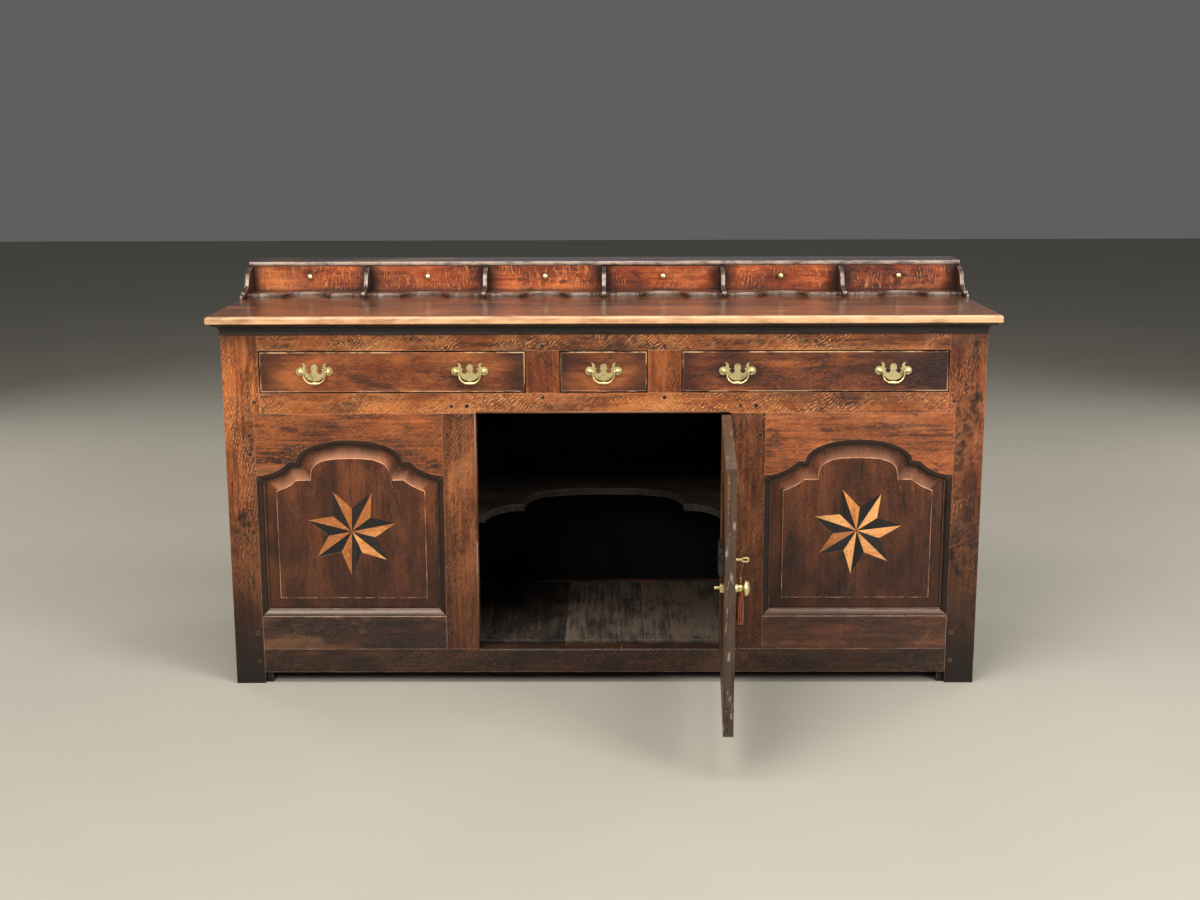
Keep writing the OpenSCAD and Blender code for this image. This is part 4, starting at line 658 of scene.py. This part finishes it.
# Each node's wood, the axis its grain follows (None for each board's longest) and how wide its
# arrises are eased, in metres (None for pieces that are left as packed)
FINISH = {
    "front_posts": (OAK_POST, Z, 0.0016), "rear_posts": (OAK_SIDE, Z, 0.0016),
    "front_rails": (OAK_RAIL, X, 0.0010), "drawer_muntins": (OAK_MUNTIN, Z, 0.0010),
    "door_posts": (OAK_FRAME, None, 0.0010), "arched_rails": (OAK_ARCH, X, 0.0006),
    "lower_rails": (OAK_LOW, X, 0.0006), "fielded_panels": (OAK_PANEL, Z, 0.0006),
    "door_panel": (OAK_PANEL, Z, 0.0006), "door_frame": (OAK_DOOR, None, 0.0010),
    "side_back_rails": (OAK_SIDE, None, 0.0012), "side_panels": (OAK_SIDE, Z, 0.0008),
    "back_boards": (OAK_INSIDE_SHADE, None, 0.0003), "worktop_boards": (OAK_TOP, X, 0.0020),
    "worktop_moulding": (OAK_CORNICE, None, 0.0008), "floor_boards": (OAK_FLOOR_SHADE, Y, 0.0010),
    "shelf": (OAK_SHELF_SHADE, X, 0.0015), "runners_and_cleats": (OAK_INSIDE_SHADE, None, 0.0010),
    "gallery_top": (OAK_GALLERY, X, 0.0012), "gallery_base": (OAK_GALLERY, X, None),
    "gallery_dividers": (OAK_GALLERY, Z, 0.0012), "oak_pegs": (OAK_PEG, Y, 0.0006),
    "star_light_inlays": (LIGHT_INLAY, None, None), "star_dark_inlays": (DARK_INLAY, None, None),
    "door_star_light": (LIGHT_INLAY, None, None), "door_star_dark": (DARK_INLAY, None, None),
}
for side in ("left", "centre", "right"):
    FINISH["drawer_front_" + side] = (OAK_DRAWER, X, 0.0008)
    FINISH["drawer_box_" + side] = (OAK_BOX, None, 0.0010)
for number in range(1, 7):
    FINISH[f"spice_drawer_{number}"] = (OAK_SPICE, X, 0.0008)

for node, (material, along, width) in FINISH.items():
    mark_boards(node, along)
    paint(node, material)
    if width is not None:
        ease(node, width)
for node in NODES:
    if node.startswith(("handle_plates", "bail_", "spice_knob")) or node in ("door_key", "door_knob"):
        paint(node, BRASS)
    elif node in ("hinge_leaves_post", "hinge_leaves_door", "door_lock", "lock_bolt"):
        paint(node, IRON)


# New pieces
def new_mesh(name, points, faces, material, body):
    mesh = bpy.data.meshes.new(name)
    mesh.from_pydata(points, [], faces)
    mesh.update()
    mesh.shade_smooth()
    mesh.materials.append(material)
    thing = bpy.data.objects.new(name, mesh)
    bpy.context.collection.objects.link(thing)
    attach(thing, body)
    return thing


def tube(points, faces, spine, radii, sides):
    """Adds a closed tube of round sections, level with the floor, to points and faces."""
    start = len(points)
    for centre, radius in zip(spine, radii):
        for k in range(sides):
            a = math.tau * k / sides
            across, back = radius * math.cos(a), radius * math.sin(a)
            points.append((centre[0] + across, centre[1] + back, centre[2]))
    for row in range(len(spine) - 1):
        for k in range(sides):
            a = start + row * sides + k
            b = start + row * sides + (k + 1) % sides
            faces.append((a, b, b + sides, a + sides))
    faces.append(tuple(start + k for k in reversed(range(sides))))
    top = start + (len(spine) - 1) * sides
    faces.append(tuple(top + k for k in range(sides)))


KEY_X = -0.244
TASSEL_Y = -0.0105 + ROW_Y
TASSEL_TOP = 0.4205
TASSEL_LOW = 0.3230
# the turned head: radius, and height from the tassel's top
TASSEL_HEAD = ((0.0, 0.0036), (0.0022, 0.0029), (0.0036, 0.0004), (0.0034, -0.0022), (0.0024, -0.0042),
               (0.0031, -0.0056), (0.0031, -0.0080), (0.0023, -0.0094), (0.0038, -0.0120),
               (0.0052, -0.0190), (0.0046, -0.0300))
TIP_R, HEAD_FACETS = 0.0004, 20
STRANDS, STRAND_ROWS, STRAND_SIDES = 46, 9, 6
STRAND_R, STRAND_TIP_R = 0.00085, 0.00055
STRAND_DOWN = 0.011  # where the strands leave the head
SKIRT_R, SKIRT_DRAWN_IN, DRAWN_FROM = 0.0071, 0.0048, 0.55
GOLDEN_TURN = 0.381966


def make_tassel():
    dice = random.Random(7)
    points, faces = [], []
    axis = (KEY_X, TASSEL_Y)
    spine = [(*axis, TASSEL_TOP + rise) for _, rise in reversed(TASSEL_HEAD)]
    tube(points, faces, spine, [max(radius, TIP_R) for radius, _ in reversed(TASSEL_HEAD)], HEAD_FACETS)
    for k in range(STRANDS):
        a = math.tau * k * GOLDEN_TURN
        ring = math.sqrt((k + 0.5) / STRANDS)
        low = TASSEL_LOW + dice.uniform(0.0, 0.005)
        lean = dice.uniform(-0.06, 0.06)
        spine, radii = [], []
        for i in range(STRAND_ROWS):
            t = i / (STRAND_ROWS - 1)
            z = low + (TASSEL_TOP - STRAND_DOWN - low) * t
            drawn = SKIRT_DRAWN_IN * max(0.0, t - DRAWN_FROM) / (1 - DRAWN_FROM)
            out = ring * (SKIRT_R - drawn) + 0.0002 * math.sin(9 * t + k)
            turn = a + lean * (1 - t) * 3
            spine.append((axis[0] + out * math.cos(turn), axis[1] + out * math.sin(turn), z))
            radii.append(STRAND_R if i else STRAND_TIP_R)
        tube(points, faces, spine, radii, STRAND_SIDES)
    points = [tuple(OPEN @ Vector(p)) for p in points]
    tassel = new_mesh("tassel", points, faces, SILK, "door")
    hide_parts("key_tassel")
    return tassel


tassel = make_tassel()

# The thread's route from part.scad, in metres, which runs on down inside the tassel
CORD_SWAY = (0, 0.0002, 0.0008, 0.0018, 0.0030, 0.0043, 0.0054, 0.0061)
CORD_LOW, CORD_TOP = 0.4243, 0.4548
CORD_INSIDE = (0.374, 0.384, 0.394, 0.404, 0.414)
THREAD_R = 0.0009


def cord_route():
    steps = len(CORD_SWAY) - 1
    route = [Vector((KEY_X, TASSEL_Y - sway, CORD_LOW + (CORD_TOP - CORD_LOW) * i / steps))
             for i, sway in enumerate(CORD_SWAY)]
    inside = [Vector((KEY_X, TASSEL_Y, z)) for z in CORD_INSIDE]
    return [OPEN @ p for p in reversed(inside + route)]


def make_thread():
    route = cord_route()
    data = bpy.data.curves.new("tassel_thread", "CURVE")
    data.dimensions = "3D"
    data.bevel_depth = THREAD_R
    data.bevel_resolution = 3
    data.use_fill_caps = True
    spline = data.splines.new("POLY")
    spline.points.add(len(route) - 1)
    for point, at in zip(spline.points, route):
        point.co = (*at, 1)
    data.materials.append(SILK)
    thread = bpy.data.objects.new("tassel_thread", data)
    bpy.context.collection.objects.link(thread)
    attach(thread, "door")
    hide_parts("tassel_cord")
    length = sum((b - a).length for a, b in zip(route, route[1:]))
    tuple(route[0])


make_thread()


# A rounded bead along the edges of the door's opening, broken where the post's edge is chipped
BEAD_W, BEAD_H, BEAD_STEPS = 0.0044, 0.0011, 8
OPENING_X, SILL_Z, MID_Z = 0.300, 0.086, 0.664
CHIP_LOW, CHIP_HIGH = 0.352, 0.384


def bead_run(points, faces, start, end, across):
    """Adds a half-round strip between two places on the front face, widened towards across."""
    first = len(points)
    for at in (start, end):
        for k in range(BEAD_STEPS + 1):
            a = math.pi * k / BEAD_STEPS
            aside = Vector(across) * BEAD_W * (1 - math.cos(a)) / 2
            points.append(tuple(Vector(at) + aside - Vector((0, BEAD_H * math.sin(a), 0))))
    row = BEAD_STEPS + 1
    for k in range(BEAD_STEPS):
        faces.append((first + k, first + k + 1, first + k + row + 1, first + k + row))
    faces.append((first, first + row, first + 2 * row - 1, first + row - 1))
    faces.append(tuple(first + k for k in reversed(range(row))))
    faces.append(tuple(first + row + k for k in range(row)))


def make_beads():
    y = ROW_Y + 0.0002
    points, faces = [], []
    for low, high in ((SILL_Z + 0.004, CHIP_LOW), (CHIP_HIGH, MID_Z - 0.001)):
        bead_run(points, faces, (-OPENING_X, y, low), (-OPENING_X, y, high), (-1, 0, 0))
    new_mesh("post_bead", points, faces, BEAD, "carcass")
    points, faces = [], []
    bead_run(points, faces, (-OPENING_X, y, MID_Z), (OPENING_X - 0.008, y, MID_Z), (0, 0, 1))
    new_mesh("rail_bead", points, faces, BEAD, "carcass")


# Heads of screws and nails, each a low dome, and their places as in part.scad
HEAD_SIDES = 16
HEAD_RINGS = ((1.0, -0.25), (1.0, 0.04), (0.86, 0.16), (0.5, 0.24))
SCREW_R, NAIL_R = 0.0026, 0.0034
DOOR_LOW, DOOR_HIGH = 0.098, 0.660
HINGE_IN, SCREW_RISE, LEAF_Y = 0.062, 0.022, 0.0125
PROUD, DOOR_LEAF_IN = 0.0001, 0.0015
LOCK_SCREW_X, LOCK_SCREW_Z, LOCK_BACK_Y = (-0.2855, -0.2345), (0.489, 0.449), 0.035
BACK_Y, BACK_HALF, BACK_GAP, BACK_BOARDS = 0.574, 0.840, 0.0002, 8
NAIL_Z, NAIL_SHARES = (0.060, 0.665, 0.845), (0.25, 0.75)


def add_head(points, faces, at, out, radius, slotted):
    """Adds one head that stands off a face towards out, with a slot if it is a screw's."""
    out = Vector(out)
    side = out.orthogonal().normalized()
    other = out.cross(side)
    first = len(points)
    for share, height in HEAD_RINGS:
        for k in range(HEAD_SIDES):
            a = math.tau * k / HEAD_SIDES
            p = Vector(at) + radius * share * (math.cos(a) * side + math.sin(a) * other)
            points.append(tuple(p + out * radius * height))
    for row in range(len(HEAD_RINGS) - 1):
        for k in range(HEAD_SIDES):
            a = first + HEAD_SIDES * row + k
            b = first + HEAD_SIDES * row + (k + 1) % HEAD_SIDES
            faces.append((a, b, b + HEAD_SIDES, a + HEAD_SIDES))
    last = first + HEAD_SIDES * (len(HEAD_RINGS) - 1)
    if slotted:
        # the points near the middle line lie deeper than the two half discs beside them
        low = len(points)
        for k in range(HEAD_SIDES):
            a = math.tau * k / HEAD_SIDES
            flat = 0.5 * math.sin(a)
            keep = max(abs(flat), 0.1) * (1 if flat >= 0 else -1)
            deep = 0.02 if abs(flat) < 0.12 else 0.26
            p = Vector(at) + radius * (0.46 * math.cos(a) * side + 0.9 * keep * other)
            points.append(tuple(p + out * radius * deep))
        for k in range(HEAD_SIDES):
            after = (k + 1) % HEAD_SIDES
            faces.append((last + k, last + after, low + after, low + k))
        last = low
    faces.append(tuple(last + k for k in range(HEAD_SIDES)))


def make_heads(name, spots, radius, slotted, body):
    """Makes one piece of heads, at spots that each give a place and the way the head faces."""
    points, faces = [], []
    for at, out in spots:
        add_head(points, faces, at, out, radius, slotted)
    if body == "door":
        points = [tuple(OPEN @ Vector(p)) for p in points]
    new_mesh(name, points, faces, IRON, body)


def make_screws():
    post, door = [], []
    for z in (DOOR_LOW + HINGE_IN, DOOR_HIGH - HINGE_IN):
        for rise in (-SCREW_RISE, SCREW_RISE):
            post.append(((OPENING_X + PROUD, ROW_Y + LEAF_Y, z + rise), (-1, 0, 0)))
            door.append(((OPENING_X - DOOR_LEAF_IN, ROW_Y + LEAF_Y, z + rise), (1, 0, 0)))
    for z in LOCK_SCREW_Z:
        for x in LOCK_SCREW_X:
            door.append(((x, ROW_Y + LOCK_BACK_Y, z), (0, 1, 0)))
    make_heads("post_screws", post, SCREW_R, True, "carcass")
    make_heads("door_screws", door, SCREW_R, True, "door")


def make_nails():
    y = BACK_Y + ROW_Y + PROUD
    width = (2 * BACK_HALF - BACK_GAP) / BACK_BOARDS
    spots = []
    for board in range(BACK_BOARDS):
        for z in NAIL_Z:
            for share in NAIL_SHARES:
                spots.append(((-BACK_HALF + width * (board + share), y, z), (0, 1, 0)))
    make_heads("back_nails", spots, NAIL_R, False, "carcass")


make_beads()
make_screws()
make_nails()


# Stage and light
FLOOR_HALF = 14
WORLD_COLOUR, WORLD_STRENGTH = (0.80, 0.81, 0.83, 1), 0.14
# name, place, aim, width, height, power, colour
LIGHTS = (
    ("key", (-1.7, -3.2, 2.7), (0, 0, 0.5), 2.2, 1.4, 115, (1.0, 0.97, 0.93)),
    ("fill", (2.6, -2.6, 2.0), (0.3, 0, 0.5), 1.4, 1.4, 98, (0.98, 0.98, 1.0)),
    ("top", (0, -1.0, 3.3), (0, 0.1, 0.8), 3.4, 1.2, 105, (1, 1, 1)),
    ("back", (0.4, 3.2, 2.8), (0, 0.3, 0.6), 3.0, 1.6, 16, (1, 1, 1)),
    ("left_rear", (-3.5, 2.7, 1.9), (0, 0.3, 0.5), 1.4, 1.4, 45, (1, 1, 1)),
    ("right_rear", (3.5, 2.7, 1.9), (0, 0.3, 0.5), 1.4, 1.4, 45, (1, 1, 1)),
)


def make_floor():
    g = Graph("floor")
    at = g.node("ShaderNodeTexCoord").outputs["Object"]
    cloud = g.noise(g.vec("MULTIPLY", at, (1.2, 1.2, 1.2)), detail=3)
    colour = g.mix(srgb(158, 152, 138), srgb(170, 164, 149), cloud)
    material = g.finish(colour, 0.75, cloud, 0.0002)
    mesh = bpy.data.meshes.new("floor")
    corners = [(x * FLOOR_HALF, y * FLOOR_HALF, 0) for x, y in ((-1, -1), (1, -1), (1, 1), (-1, 1))]
    mesh.from_pydata(corners, [], [(0, 1, 2, 3)])
    mesh.materials.append(material)
    floor = bpy.data.objects.new("floor", mesh)
    bpy.context.collection.objects.link(floor)


def make_light(name, at, aim, width, height, power, colour):
    data = bpy.data.lights.new(name, "AREA")
    data.shape = "RECTANGLE"
    data.size = width
    data.size_y = height
    data.energy = power
    data.color = colour
    light = bpy.data.objects.new(name, data)
    bpy.context.collection.objects.link(light)
    light.location = at
    light.rotation_euler = (Vector(aim) - Vector(at)).to_track_quat("-Z", "Y").to_euler()


def make_stage():
    make_floor()
    bpy.context.scene.view_settings.view_transform = "Standard"
    world = bpy.data.worlds.new("world")
    world.use_nodes = True
    back = world.node_tree.nodes["Background"]
    back.inputs[0].default_value = WORLD_COLOUR
    back.inputs[1].default_value = WORLD_STRENGTH
    bpy.context.scene.world = world
    for light in LIGHTS:
        make_light(*light)


make_stage()
